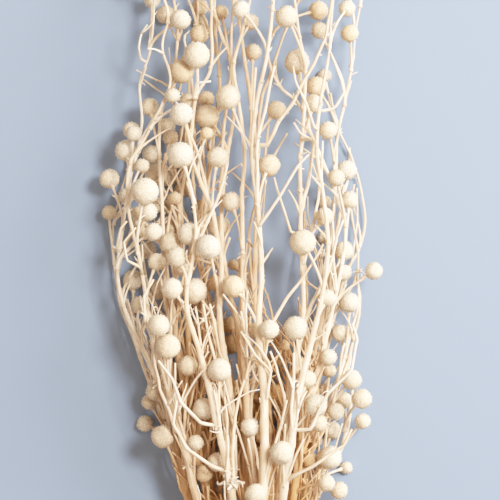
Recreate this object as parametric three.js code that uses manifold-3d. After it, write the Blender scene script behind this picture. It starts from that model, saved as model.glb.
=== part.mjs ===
// A bunch of bleached dried stems with ball-shaped seed heads, tied with twine and lying on a flat surface.
// Millimetres. +Z is up, +Y runs from the cut ends to the tips. The origin is under the middle of the bunch.
//
// Nineteen stems leave the twine as a round bundle and fan out into five layers, one above the other.
// Each ball grows on a thin stalk that forks from its stem, or from another ball's stalk.

import * as THREE from 'three';
import { ConvexGeometry } from 'three/addons/geometries/ConvexGeometry.js';
import { mergeVertices } from 'three/addons/utils/BufferGeometryUtils.js';
import Module from 'manifold-3d';

const wasm = await Module();
wasm.setup();

// Driving sizes of the whole bunch
const MIDDLE = [-4.7, -51.5];          // x and y of the middle of the bunch, in the layout below
const LAYER_HEIGHTS = [5, 16, 27, 38, 49];
const FREE_GAP = 0.4;                  // least gap between two sprays

// The tied bundle
const TIE_Y = -215;
const CUT_END_Y = -262;
const CUT_STAGGER = 12;                // how much further than CUT_END_Y the longest stem reaches
const FAN_END_Y = -88;                 // where each stem has reached its layer
const WAIST = 13;                      // half the length over which the bundle stays parallel
const BUNDLE_PITCH = 4.9;
const OUTER_RING = 9.47;               // radius of the ring of twelve stems round the inner seven
const TURN_THICKNESS = 2;
const TURNS = 4;
const RING_SIDES = 20;
const FLARE = 1.2;                     // how far the bundle opens at its cut ends
const HALFWAY_SPREAD = 0.45;           // how far a stem has fanned out halfway to its route
const KNOT_HALF_SIZE = [3.6, 3, 2.3];
const GROOVE_DEPTH = 0.6;              // between two turns of twine

// Stems and stalks
const THICKEST_STEM = 2.35;            // radius at the cut end
const STEM_SIDES = 5;
const STEM_TIP_SHARE = 0.33;           // radius at the tip, as a share of the radius at the cut end
const STALK_SIDES = 3;
const STALK_STEPS = [0.5, 1];
const STALK_RADIUS = 0.95;
const STALK_TIP_RADIUS = 0.65;
const STALK_BEND = 0.3;                // how far along its length a stalk follows the branch it grows from
const LONGEST_STALK = 64;
const USUAL_STALK = 27;
const SHORTEST_BARE = 3;               // of a stalk, between its stem and its ball
const SHARPEST_TURN = 0.6;             // of a stalk from its branch, as one less the cosine
const LOWEST_LIFT = -12;               // how far from its layer a ball may stand
const HIGHEST_LIFT = 16;
const LIFT_STEP = 2;
const COSTS = { length: 0.6, turn: 22, stalks: 5, lift: 1.2 };

// Bare twigs, which have lost their balls
const TWIGS = 30;
const TWIG_STEPS = [0.5, 1];
const TWIG_RADIUS = 0.8;
const TWIG_TIP_RADIUS = 0.4;
const TWIG_LENGTH = [12, 28];
const TWIG_LEAN = [0.45, 0.8];         // how far a twig leans off its branch, as a share of its length
const TWIG_RISE = 0.35;                // the same up or down, at most
const SIDE = 32;                       // how far from the bunch's middle line its sides start

// Balls
const BALL_POINTS = 22;
const BALL_RELIEF = 0.035;             // how far the florets stand out, as a share of the radius
const FLAT_SPOT = 0.35;                // how far a ball that rests is pressed flat
const TALL_Y = 135;                    // stems that end beyond this carry balls at their tips too
const TIP_BALLS = [                    // how far past the tip each stands, and how far to either side at most
  { ahead: 10, aside: 2 },
  { ahead: -6, aside: 12 },
];
const TIP_DIAMETER = [8.5, 12];

// Middles of the nineteen stems in the tied bundle, as seen from the cut ends: one, six and twelve
const ring = (count, radius, start) => Array.from({ length: count }, (_, i) => {
  const angle = (start + i * 360 / count) * Math.PI / 180;
  return [radius * Math.cos(angle), radius * Math.sin(angle)];
});
const INNER = ring(6, BUNDLE_PITCH, 0);
const OUTER = ring(12, OUTER_RING, 15);
const RING_RADIUS = OUTER_RING + THICKEST_STEM + FREE_GAP;
const BUNDLE_Z = RING_RADIUS + TURN_THICKNESS - FLAT_SPOT;

// Each stem: its layer from the bottom, its seat in the bundle, its radius at the cut end,
// and its route over the surface, from 90 mm above the twine to its tip
const STEMS = {
  stem_low_left: { layer: 0, seat: OUTER[7], radius: 1.9, route: [
    [-30, -125], [-39, -100], [-47.5, -77.5], [-56.5, -52.5], [-65, -30], [-69, -7.5], [-69.5, 12.5],
    [-66, 27.5], [-62.5, 40]] },
  stem_low_right_arc: { layer: 0, seat: OUTER[8], radius: 2, route: [
    [20, -125], [24, -100], [31.5, -77.5], [37.5, -55], [43, -32.5], [48.5, -12.5], [55.5, 1], [58.5, 16],
    [56.5, 32.5], [51.5, 47.5], [45, 62], [41, 80]] },
  stem_low_right: { layer: 0, seat: OUTER[9], radius: 2.15, route: [
    [30, -125], [38, -112.5], [45.5, -102.5], [50, -90], [51.5, -77.5]] },
  stem_left_inner: { layer: 1, seat: OUTER[6], radius: 2.1, route: [
    [-19, -125], [-22, -102.5], [-26, -80], [-30, -57.5], [-32, -35], [-34, -12.5], [-36, 7.5], [-34.5, 27.5],
    [-31.5, 50], [-31, 70], [-30, 90], [-27, 110], [-27, 130], [-29.5, 150]] },
  stem_mid_left: { layer: 1, seat: INNER[4], radius: 2.1, route: [
    [-10, -125], [-14.5, -100], [-18, -75], [-21.5, -50], [-23.5, -25], [-24.5, 0], [-22, 25], [-19.5, 50],
    [-17, 70], [-15.5, 87.5], [-17.5, 107.5], [-18, 127.5], [-16, 150]] },
  stem_right_tall: { layer: 1, seat: INNER[5], radius: 2, route: [
    [18, -125], [22, -100], [27, -75], [32.5, -52.5], [37, -30], [40.5, -7.5], [42, 15], [43, 37.5],
    [44, 57.5], [47.5, 72.5], [51, 90], [53, 107.5], [55.5, 122.5], [59, 142.5]] },
  stem_right_short: { layer: 1, seat: OUTER[10], radius: 1.9, route: [
    [27, -125], [30, -105], [36, -87.5], [42.5, -71.5], [47.5, -55], [51.5, -40], [55, -27.5],
    [54.5, -19.5]] },
  stem_left_outer: { layer: 2, seat: OUTER[5], radius: 2.1, route: [
    [-31, -125], [-36, -102.5], [-42.5, -75], [-53.5, -50], [-63, -29], [-66.5, -10], [-64, 10], [-61, 30],
    [-56.5, 50], [-54, 65], [-55, 82.5], [-50.5, 100], [-48.5, 120], [-47, 142]] },
  stem_left_long: { layer: 2, seat: INNER[3], radius: 2.1, route: [
    [-21.5, -125], [-25.5, -100], [-31, -75], [-36, -52.5], [-39, -30], [-42.5, -5], [-44.5, 22.5],
    [-45.5, 45], [-45, 67.5], [-39, 85], [-36, 105], [-38, 125], [-40.5, 145]] },
  stem_centre_left: { layer: 2, seat: [0, 0], radius: 2.3, route: [
    [-2.5, -125], [-2, -95], [-3.5, -67.5], [-6, -40], [-10.5, -20], [-13.5, 0], [-14, 22.5],
    [-11.5, 47.5], [-8, 70], [-10, 95], [-15.5, 112.5], [-20, 130], [-22, 150]] },
  stem_centre_thin: { layer: 2, seat: INNER[0], radius: 2.25, route: [
    [9, -125], [9.5, -95], [8.5, -70], [6, -47.5], [2.5, -25], [2.5, 0], [3.5, 22.5], [1, 47.5],
    [0.5, 70], [-2.5, 92.5], [-5, 115], [-8, 135], [-9.5, 154]] },
  stem_right_wander: { layer: 2, seat: OUTER[11], radius: 2.1, route: [
    [22, -125], [25, -100], [29.5, -77.5], [35.5, -55], [41, -30], [46, -7.5], [48, 11], [44.5, 25],
    [38, 40], [30.5, 59], [24.5, 73], [15, 82], [9, 97.5], [11, 107]] },
  stem_left_bright: { layer: 3, seat: OUTER[4], radius: 2.1, route: [
    [-26.5, -125], [-32, -100], [-39, -74], [-46, -50], [-51, -27.5], [-55.5, -2.5], [-60.5, 21],
    [-59.5, 42.5], [-50, 60], [-40, 82.5], [-43.5, 100], [-41, 112.5]] },
  stem_mid_weave: { layer: 3, seat: INNER[2], radius: 2.2, route: [
    [-9, -125], [-8.5, -95], [-10.5, -70], [-14, -45], [-15.5, -25], [-14.5, -6], [-18, 17.5],
    [-25, 35], [-29.5, 50], [-27, 75], [-20, 90], [-19, 115], [-20.5, 145]] },
  stem_centre_tall: { layer: 3, seat: INNER[1], radius: 2.2, route: [
    [2, -125], [0.5, -100], [-1.5, -75], [-3, -50], [-3.5, -25], [-3.5, 0], [-4, 25], [-2.5, 50],
    [-6, 75], [-8, 92.5], [-3.5, 110], [1, 130], [3, 152]] },
  stem_right_inner: { layer: 3, seat: OUTER[0], radius: 2.1, route: [
    [13.5, -125], [17, -100], [20.5, -75], [23.5, -52.5], [26.5, -30], [26, -7.5], [25, 17.5], [25, 45],
    [26.5, 70], [27.5, 87.5], [25, 105], [22, 125], [20, 150]] },
  stem_top_left: { layer: 4, seat: OUTER[3], radius: 2.2, route: [
    [-8, -125], [-14, -95], [-23.5, -55], [-30, -34], [-31, -17.5], [-27, 5], [-27.5, 22.5],
    [-31, 33]] },
  stem_top_centre: { layer: 4, seat: OUTER[2], radius: THICKEST_STEM, route: [
    [6, -125], [7, -95], [6.5, -67.5], [4, -40], [5, -10], [4, 20], [1.5, 45], [3, 70], [8, 95],
    [11, 117.5], [13.5, 140], [14.5, 156]] },
  stem_top_right: { layer: 4, seat: OUTER[1], radius: 2.2, route: [
    [16.5, -125], [20.5, -95], [24.5, -67.5], [30, -45], [35.5, -22.5], [39, 2.5], [36, 27.5], [33, 50],
    [35, 75], [39, 100], [41, 125], [42, 150]] },
};

// Balls: x, y, diameter and layer, from the tips down
const BALLS = [
  [-49.5, 126, 8, 1], [-43, 120, 9.5, 0], [-34.5, 114.5, 10, 3], [-25.5, 123, 9, 1], [-25, 115.5, 7.5, 0],
  [-25.5, 108, 9.5, 2], [-26.5, 96.5, 13, 3], [-34, 89, 12, 2], [-14.5, 119.5, 7.5, 2], [-4.5, 119, 9, 3],
  [0.5, 114, 8, 2], [-38.5, 76.5, 7.5, 3], [-50.5, 72, 9, 2], [-34, 67, 11.5, 4], [-31, 74.5, 7.5, 3],
  [-22, 76, 8, 2], [-11, 75.5, 12, 3], [-21.5, 67, 12, 2], [-60, 60.5, 8.5, 1], [-58, 58, 8, 2],
  [-42.5, 63, 9, 0], [-40, 56.5, 8, 1], [-62.5, 50, 10.5, 2], [-21.5, 58, 6.5, 3], [-50, 48.5, 10, 0],
  [-54, 42, 7.5, 2], [-34.5, 47, 13, 4], [-16, 46, 10.5, 3], [-71, 36, 10, 1], [-52, 29, 13.5, 3],
  [-71.5, 19, 7.5, 0], [-63, 27.5, 8, 0], [-50.5, 19, 9, 3], [-56.5, 18.5, 7, 1], [-9.5, 24, 9.5, 3],
  [-54, 9, 8.5, 1], [-48, 9, 9, 2], [-39, 11, 8, 1], [-30.5, 8, 11, 3], [-15.5, 11.5, 11.5, 2],
  [-39.5, 3.5, 11, 2], [-20.5, 1.5, 12, 3], [-36, -3.5, 10, 4], [-34, -9, 7, 3], [-46.5, -6, 9, 2],
  [-59.5, -15.5, 10.5, 0], [-38.5, -19, 10.5, 4], [-27.5, -20.5, 12.5, 3], [-17, -16.5, 9, 2],
  [-8, -18, 11, 3], [-8.5, -7.5, 5.5, 1], [-45, -37, 11, 3], [-40.5, -47.5, 12, 4], [-31, -57.5, 10, 3],
  [-15, -59, 11.5, 4], [-10, -38, 9, 0], [-10, -48, 10, 0], [-29.5, -40, 8, 1], [-47.5, -71, 10, 1],
  [-51, -77, 8, 0], [-53.5, -88.5, 8.5, 0], [-43.5, -93, 11.5, 2],
  [-23, -79, 11, 3], [-27, -95.5, 8, 3], [-16.5, -105.5, 9.5, 3], [-23, -111.5, 9, 2], [-42, -82.5, 6.5, 1],
  [18, 115.5, 11, 3], [1.5, 99.5, 8.5, 2], [23.5, 94, 12.5, 3], [34.5, 121, 10, 1], [35, 111, 8.5, 1],
  [48.5, 121, 8.5, 2], [50, 108.5, 9, 2], [38, 89, 7, 0], [33, 82, 10, 2], [31.5, 73, 9.5, 3],
  [13.5, 70, 9.5, 2], [39, 60, 9, 2], [9.5, 42, 11, 3], [49, 40.5, 10, 1], [43, 36, 8.5, 2],
  [38, 24.5, 7, 0], [37, 16.5, 9, 3], [50, 25, 9, 2], [26, 3.5, 13, 4], [47.5, -0.5, 10, 1],
  [38, 6.5, 7, 0], [62, -10.5, 9, 2], [47, -11.5, 8.5, 2], [50, -26.5, 10, 1], [38, -24, 9, 3],
  [45.5, -42, 9, 1], [9.5, -39, 9.5, 4], [3.5, -40, 8.5, 3], [22.5, -38.5, 12, 3], [39, -53.5, 8.5, 2],
  [40, -61, 7, 1], [17, -48, 6, 2], [25, -56, 5.5, 3], [28, -64, 9.5, 3], [51, -65, 10, 2],
  [55.5, -74, 10, 3], [47.5, -76, 8.5, 1], [32.5, -76.5, 11, 4], [43, -81, 8.5, 2], [34, -86, 9, 3],
  [57, -86.5, 8, 1], [0, -87.5, 9.5, 3], [6.5, -94, 9, 2], [15.5, -99.5, 11.5, 4], [4.5, -74.5, 6, 1],
  [40, -104, 12, 2], [38, -116, 8.5, 3], [45, -121.5, 9, 1], [2.5, -120, 10, 3], [49, -111, 6.5, 0],
  [38.5, -71.5, 8, 0],
];

const RANDOM_FACTOR = 16807;
const RANDOM_RANGE = 2147483647;
let seed = 20;
function random(low = 0, high = 1) {
  seed = (seed * RANDOM_FACTOR) % RANDOM_RANGE;
  return low + (high - low) * (seed / RANDOM_RANGE);
}

const add = (a, b, share = 1) => [a[0] + b[0] * share, a[1] + b[1] * share, a[2] + b[2] * share];
const minus = (a, b) => [a[0] - b[0], a[1] - b[1], a[2] - b[2]];
const dot = (a, b) => a[0] * b[0] + a[1] * b[1] + a[2] * b[2];
const unit = (a) => add([0, 0, 0], a, 1 / Math.sqrt(dot(a, a)));
const smooth = (t) => t * t * (3 - 2 * t);
const clamp = (t) => Math.min(1, Math.max(0, t));

// Squared distance between segments p-q and s-t
function segmentsApart(p, q, s, t) {
  const d1 = minus(q, p), d2 = minus(t, s), r = minus(p, s);
  const a = dot(d1, d1), e = dot(d2, d2), f = dot(d2, r), c = dot(d1, r), b = dot(d1, d2);
  const spread = a * e - b * b;
  let u = spread > 1e-9 ? clamp((b * f - c * e) / spread) : 0;
  const w = e > 1e-9 ? clamp((b * u + f) / e) : 0;
  u = a > 1e-9 ? clamp((b * w - c) / a) : 0;
  const apart = minus(add(p, d1, u), add(s, d2, w));
  return dot(apart, apart);
}

// Everything placed so far, as round-ended rods; a ball is a rod of no length
const rods = [];
function isClear(rod, own, gap) {
  return rods.every((o) => {
    if (own(o)) return true;
    const reach = rod.radius + o.radius + gap;
    return segmentsApart(rod.from, rod.to, o.from, o.to) >= reach * reach;
  });
}

// The line of one stem, from its cut end through the twine to its tip
function stemLine({ layer, seat: [x, z], route }) {
  const height = (y) => {
    const fanned = smooth(clamp((y - TIE_Y - WAIST) / (FAN_END_Y - TIE_Y - WAIST)));
    return BUNDLE_Z + z + (LAYER_HEIGHTS[layer] - BUNDLE_Z - z) * fanned;
  };
  const cut = CUT_END_Y - CUT_STAGGER * random();
  const half = TIE_Y / 2 + route[0][1] / 2;
  return [
    [x * FLARE, cut, BUNDLE_Z + z * FLARE],
    [x, TIE_Y - WAIST, BUNDLE_Z + z],
    [x, TIE_Y + WAIST, BUNDLE_Z + z],
    [x + (route[0][0] - x) * HALFWAY_SPREAD, half, height(half)],
    ...route.map(([rx, ry]) => [rx, ry, height(ry)]),
  ];
}

// Each stem with its forks, where stalks and twigs may grow: none below the point halfway to its route
const FIRST_FORK = 3;
const sprays = Object.entries(STEMS).map(([name, stem]) => {
  const line = stemLine(stem);
  const radii = line.map((_, i) => stem.radius * (1 - (1 - STEM_TIP_SHARE) * i / (line.length - 1)));
  const forks = line.slice(FIRST_FORK).map((at, i) => {
    const before = line[FIRST_FORK + i - 1];
    const after = line[FIRST_FORK + i + 1] ?? at;
    return { at, along: unit(minus(after, before)), stalks: 0 };
  });
  for (let i = 1; i < line.length; i++)
    rods.push({ spray: name, ball: false, from: line[i - 1], to: line[i], radius: radii[i - 1] });
  return { name, line, radii, forks, stalks: [], twigs: [], balls: [] };
});

// A stalk or twig leaves its fork along the branch and bends round to its own end
function stalkLine(fork, end, steps) {
  const length = Math.sqrt(dot(minus(end, fork.at), minus(end, fork.at)));
  const bend = add(fork.at, fork.along, STALK_BEND * length);
  const line = steps.map((t) => add(
    add(add([0, 0, 0], fork.at, (1 - t) * (1 - t)), bend, 2 * t * (1 - t)), end, t * t));
  return [fork.at, ...line];
}

const rodsAlong = (line, spray, radius) => line.slice(1).map((to, i) => ({
  spray: spray.name, ball: false, from: line[i], to, radius,
}));
const isFree = (rod, spray) => isClear(rod, (other) => other.spray === spray.name && !other.ball, FREE_GAP);

// Finds the nearest good fork and height for a ball where it and its stalk are clear, and grows it there
function growBall([x, y, diameter, layer]) {
  const radius = diameter / 2;
  const rest = radius - FLAT_SPOT;
  const choices = [];
  for (let lift = LOWEST_LIFT; lift <= HIGHEST_LIFT; lift += LIFT_STEP) {
    const middle = [x, y, layer === 0 ? rest + lift : Math.max(rest, LAYER_HEIGHTS[layer] + lift)];
    if (middle[2] < rest) continue;
    const ball = { from: middle, to: middle, radius: radius * (1 + BALL_RELIEF) };
    if (!isClear(ball, () => false, FREE_GAP)) continue;
    for (const { spray, fork } of sprays.flatMap((spray) => spray.forks.map((fork) => ({ spray, fork })))) {
      const way = minus(middle, fork.at);
      const length = Math.sqrt(dot(way, way));
      const turn = 1 - dot(way, fork.along) / length;
      if (length < radius + SHORTEST_BARE || length > LONGEST_STALK || turn > SHARPEST_TURN) continue;
      const cost = COSTS.length * Math.abs(length - USUAL_STALK) + COSTS.turn * turn
        + COSTS.stalks * fork.stalks + COSTS.lift * Math.abs(lift);
      choices.push({ spray, fork, middle, ball, cost });
    }
  }
  choices.sort((a, b) => a.cost - b.cost);
  for (const { spray, fork, middle, ball } of choices) {
    const line = stalkLine(fork, middle, STALK_STEPS);
    const stalk = rodsAlong(line, spray, STALK_RADIUS);
    if (!stalk.every((rod) => isFree(rod, spray))) continue;
    rods.push(...stalk, { ...ball, spray: spray.name, ball: true });
    fork.stalks += 1;
    spray.stalks.push(line);
    spray.balls.push({ middle, radius, stalkSide: unit(minus(line[line.length - 2], middle)) });
    for (let i = 1; i < line.length - 1; i++)
      spray.forks.push({ at: line[i], along: unit(minus(line[i + 1], line[i - 1])), stalks: 1 });
    return;
  }
}

// The balls of the tall stems' tips stand on short stalks, one straight on and one to a side
const tipBalls = [];
for (const { line } of sprays.filter(({ line }) => line[line.length - 1][1] > TALL_Y)) {
  const [x, y, z] = line[line.length - 1];
  const layer = LAYER_HEIGHTS.findIndex((height) => Math.abs(height - z) < 1);
  for (const { ahead, aside } of TIP_BALLS)
    tipBalls.push([x + random(-aside, aside), y + ahead, random(...TIP_DIAMETER), Math.max(1, layer)]);
}
[...BALLS, ...tipBalls].sort((a, b) => a[1] - b[1]).forEach(growBall);

// Bare twigs fork off the stems' outer halves wherever there is room, and turn inwards on the bunch's sides
const bareForks = sprays.flatMap((spray) => spray.forks
  .filter(({ stalks, at }) => stalks === 0 && at[1] > FAN_END_Y)
  .map((fork) => ({ spray, fork, draw: random() })));
bareForks.sort((a, b) => a.draw - b.draw);
let grown = 0;
for (const { spray, fork } of bareForks) {
  if (grown === TWIGS) break;
  const length = random(...TWIG_LENGTH);
  const aside = fork.at[0] - MIDDLE[0];
  const turnsLeft = Math.abs(aside) > SIDE ? aside > 0 : random() < 0.5;
  const lean = random(...TWIG_LEAN) * (turnsLeft ? -1 : 1);
  const [dx, dy, dz] = fork.along;
  const way = unit([dx + lean * dy, dy - lean * dx, dz + random(-TWIG_RISE, TWIG_RISE)]);
  const line = stalkLine(fork, add(fork.at, way, length), TWIG_STEPS);
  const twig = rodsAlong(line, spray, TWIG_RADIUS);
  if (!twig.every((rod) => isFree(rod, spray))) continue;
  if (line.some(([, , z]) => z < TWIG_RADIUS)) continue;
  rods.push(...twig);
  spray.twigs.push(line);
  grown += 1;
}

// A closed tube of flat sides along a line, thinner towards its end
function tube(line, radii, sides) {
  const positions = [], index = [];
  let side = new THREE.Vector3(0, 0, 1);
  line.forEach((point, i) => {
    const before = new THREE.Vector3(...line[Math.max(i - 1, 0)]);
    const along = new THREE.Vector3(...line[Math.min(i + 1, line.length - 1)]).sub(before).normalize();
    side = side.addScaledVector(along, -side.dot(along)).normalize();
    const across = new THREE.Vector3().crossVectors(along, side);
    for (let k = 0; k < sides; k++) {
      const angle = 2 * Math.PI * k / sides;
      const rim = new THREE.Vector3(...point)
        .addScaledVector(side, radii[i] * Math.cos(angle))
        .addScaledVector(across, radii[i] * Math.sin(angle));
      positions.push(rim.x, rim.y, rim.z);
      if (i === 0) continue;
      const a = (i - 1) * sides + k, b = (i - 1) * sides + (k + 1) % sides;
      index.push(a, b, a + sides, b, b + sides, a + sides);
    }
  });
  const last = (line.length - 1) * sides;
  for (let k = 1; k < sides - 1; k++) {
    index.push(0, k + 1, k);
    index.push(last, last + k, last + k + 1);
  }
  return new THREE.BufferGeometry()
    .setAttribute('position', new THREE.Float32BufferAttribute(positions, 3))
    .setIndex(index);
}

// A ball of florets: points on a spiral over a sphere, every second one standing out
const spiral = Array.from({ length: BALL_POINTS }, (_, i) => {
  const height = 1 - (2 * i + 1) / BALL_POINTS;
  const angle = i * Math.PI * (3 - Math.sqrt(5));
  const out = Math.sqrt(1 - height * height);
  return new THREE.Vector3(out * Math.cos(angle), out * Math.sin(angle), height)
    .multiplyScalar(1 + BALL_RELIEF * (i % 2 ? 1 : -1));
});
const roundBall = new ConvexGeometry(spiral);
const socket = new THREE.Vector3();    // the side of the ball that the stalk enters
for (let i = 0; i < 3; i++)
  socket.add(new THREE.Vector3().fromBufferAttribute(roundBall.getAttribute('position'), i));
socket.normalize();

function ballGeometry({ middle, radius, stalkSide }) {
  const turn = new THREE.Quaternion().setFromUnitVectors(socket, new THREE.Vector3(...stalkSide));
  return roundBall.clone().applyQuaternion(turn).scale(radius, radius, radius).translate(...middle);
}

function solid(geometry) {
  geometry.deleteAttribute('normal');
  geometry.deleteAttribute('uv');
  const merged = mergeVertices(geometry, 1e-4);
  return new wasm.Manifold(new wasm.Mesh({
    numProp: 3,
    vertProperties: merged.getAttribute('position').array,
    triVerts: new Uint32Array(merged.index.array),
  }));
}

function geometryOf(manifold) {
  const mesh = manifold.getMesh();
  return new THREE.BufferGeometry()
    .setAttribute('position', new THREE.Float32BufferAttribute(mesh.vertProperties, 3))
    .setIndex(new THREE.BufferAttribute(mesh.triVerts, 1));
}

// The surface presses the balls and the twine that rest on it flat
const surface = solid(new THREE.BoxGeometry(400, 700, 20).translate(0, 0, -10));

const bleachedStem = new THREE.MeshStandardMaterial({ color: 0xf2dfc4, roughness: 0.75, metalness: 0 });
const juteTwine = new THREE.MeshStandardMaterial({ color: 0xb08d5f, roughness: 0.95, metalness: 0 });

const taper = (steps, root, tip) => [0, ...steps].map((t) => root + (tip - root) * t);

function sprayMesh({ name, line, radii, stalks, twigs, balls }) {
  const stalkRadii = taper(STALK_STEPS, STALK_RADIUS, STALK_TIP_RADIUS);
  const twigRadii = taper(TWIG_STEPS, TWIG_RADIUS, TWIG_TIP_RADIUS);
  let body = solid(tube(line, radii, STEM_SIDES));
  for (const stalk of stalks) body = body.add(solid(tube(stalk, stalkRadii, STALK_SIDES)));
  for (const twig of twigs) body = body.add(solid(tube(twig, twigRadii, STALK_SIDES)));
  for (const ball of balls) body = body.add(solid(ballGeometry(ball)));
  const mesh = new THREE.Mesh(geometryOf(body.subtract(surface)), bleachedStem);
  mesh.name = name;
  return mesh;
}

// Twine wound round the bundle: its turns lie side by side, with a knot and two short ends on top
function twineMesh() {
  const outside = RING_RADIUS + TURN_THICKNESS;
  const half = TURNS * TURN_THICKNESS / 2;
  const profile = [new THREE.Vector2(RING_RADIUS, half), new THREE.Vector2(RING_RADIUS, -half)];
  for (let i = 0; i < TURNS; i++) {
    const y = (i - TURNS / 2) * TURN_THICKNESS;
    profile.push(new THREE.Vector2(outside - GROOVE_DEPTH, y + 0.1));
    profile.push(new THREE.Vector2(outside, y + TURN_THICKNESS / 2));
  }
  profile.push(new THREE.Vector2(outside - GROOVE_DEPTH, half));
  profile.push(profile[0]);
  let body = solid(new THREE.LatheGeometry(profile, RING_SIDES));
  const top = outside - 0.2;           // the knot and the ends are sunk a little into the turns
  const knot = roundBall.clone().scale(...KNOT_HALF_SIZE).translate(0, 0, top + 0.8);
  body = body.add(solid(knot));
  for (const way of [-1, 1]) {
    const end = [
      [way, 0, top + 0.9],
      [way * 5, way * 2, top + 1.6],
      [way * 10, way * 5, top + 0.4],
      [way * 13, way * 10, top - 2.5],
    ];
    body = body.add(solid(tube(end, end.map(() => TURN_THICKNESS / 2), STEM_SIDES)));
  }
  const seated = body.translate([0, TIE_Y, BUNDLE_Z]).subtract(surface);
  const mesh = new THREE.Mesh(geometryOf(seated), juteTwine);
  mesh.name = 'twine_tie';
  return mesh;
}

const bunch = new THREE.Group();
bunch.add(...sprays.map(sprayMesh), twineMesh());
bunch.position.set(-MIDDLE[0], -MIDDLE[1], 0);

export default bunch;
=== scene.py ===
import math

import bmesh
import bpy
import numpy as np
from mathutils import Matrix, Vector


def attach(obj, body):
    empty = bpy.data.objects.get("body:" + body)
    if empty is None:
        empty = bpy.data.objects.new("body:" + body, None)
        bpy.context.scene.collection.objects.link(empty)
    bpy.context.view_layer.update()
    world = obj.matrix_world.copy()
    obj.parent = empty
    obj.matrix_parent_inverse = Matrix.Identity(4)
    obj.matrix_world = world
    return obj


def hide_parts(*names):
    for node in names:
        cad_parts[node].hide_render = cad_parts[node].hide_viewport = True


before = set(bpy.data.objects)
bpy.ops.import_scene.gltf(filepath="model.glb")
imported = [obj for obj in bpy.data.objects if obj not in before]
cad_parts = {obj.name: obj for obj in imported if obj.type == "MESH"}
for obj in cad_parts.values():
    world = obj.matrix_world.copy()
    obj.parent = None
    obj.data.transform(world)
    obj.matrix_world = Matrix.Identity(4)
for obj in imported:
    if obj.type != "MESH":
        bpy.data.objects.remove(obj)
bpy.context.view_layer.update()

# The growth of the bunch
# Nineteen dried stems leave the tie as a round bundle and fan out into five layers, one above the other.
# Each ball stands on a thin stalk that forks from its stem, where the stalk clears everything else. All
# is laid out in mm, with y along the bunch, from the cut ends to the tips, and z up from the surface.
MIDDLE = (-4.7, -51.5)  # x and y of the middle of the bunch
LAYER_HEIGHTS = (5, 16, 27, 38, 49)
FREE_GAP = 0.4  # kept free between all that grows
TIE_Y = -215
WAIST = 13  # half the stretch on which the bundle runs straight through the tie
CUT_END_Y = -262
CUT_STAGGER = 12
FLARE = 1.2  # how much wider the bundle is at its cut ends
FAN_END_Y = -88  # beyond it each stem keeps to its layer
FIRST_FORK = 3  # the first point of a stem's line that a shoot leaves from
HALFWAY_SPREAD = 0.45  # how far the stems have fanned out halfway to their routes
BUNDLE_PITCH = 4.9
OUTER_RING = 9.47
TURN_THICKNESS = 2
THICKEST_STEM = 2.35
STEM_TIP_SHARE = 0.33  # of a stem's radius, left at its tip
STALK_STEPS = (0.5, 1)  # the shares of a stalk at which its rods end
STALK_RADIUS = 0.95
STALK_TIP_RADIUS = 0.65
STALK_BEND = 0.3  # the share of a stalk's length on which it follows its stem
SHORTEST_BARE = 3  # of a stalk, between its stem and its ball
USUAL_STALK = 27
LONGEST_STALK = 64
SHARPEST_TURN = 0.6  # 0 is straight on and 1 at right angles
BALL_RELIEF = 0.035
FLAT_SPOT = 0.35  # pressed flat on what lies on the surface
LIFTS = range(-12, 17, 2)  # off the height of its layer, tried for each ball
COSTS = {"length": 0.6, "turn": 22, "stalks": 5, "lift": 1.2}  # of a stalk, when its fork is chosen
TALL_Y = 135  # stems that reach past it bear two more balls at their tips
TIP_BALLS = ((10, 2), (-6, 12))  # how far past the tip each stands, and how far to either side at most
TIP_DIAMETER = (8.5, 12)
TWIGS = 30
TWIG_RADIUS = 0.8
TWIG_TIP_RADIUS = 0.4
TWIG_LENGTH = (12, 28)
TWIG_LEAN = (0.45, 0.8)
TWIG_RISE = 0.35
SIDE = 32  # from the middle of the bunch to where its sides begin


def seat_ring(count, radius, start):
    """Even seats on a ring of the bundle, as x and z from its middle."""
    angles = [(start + i * 360 / count) * math.pi / 180 for i in range(count)]
    return [(radius * math.cos(a), radius * math.sin(a)) for a in angles]


INNER = seat_ring(6, BUNDLE_PITCH, 0)
OUTER = seat_ring(12, OUTER_RING, 15)
RING_RADIUS = OUTER_RING + THICKEST_STEM + FREE_GAP
BUNDLE_Z = RING_RADIUS + TURN_THICKNESS - FLAT_SPOT

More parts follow.
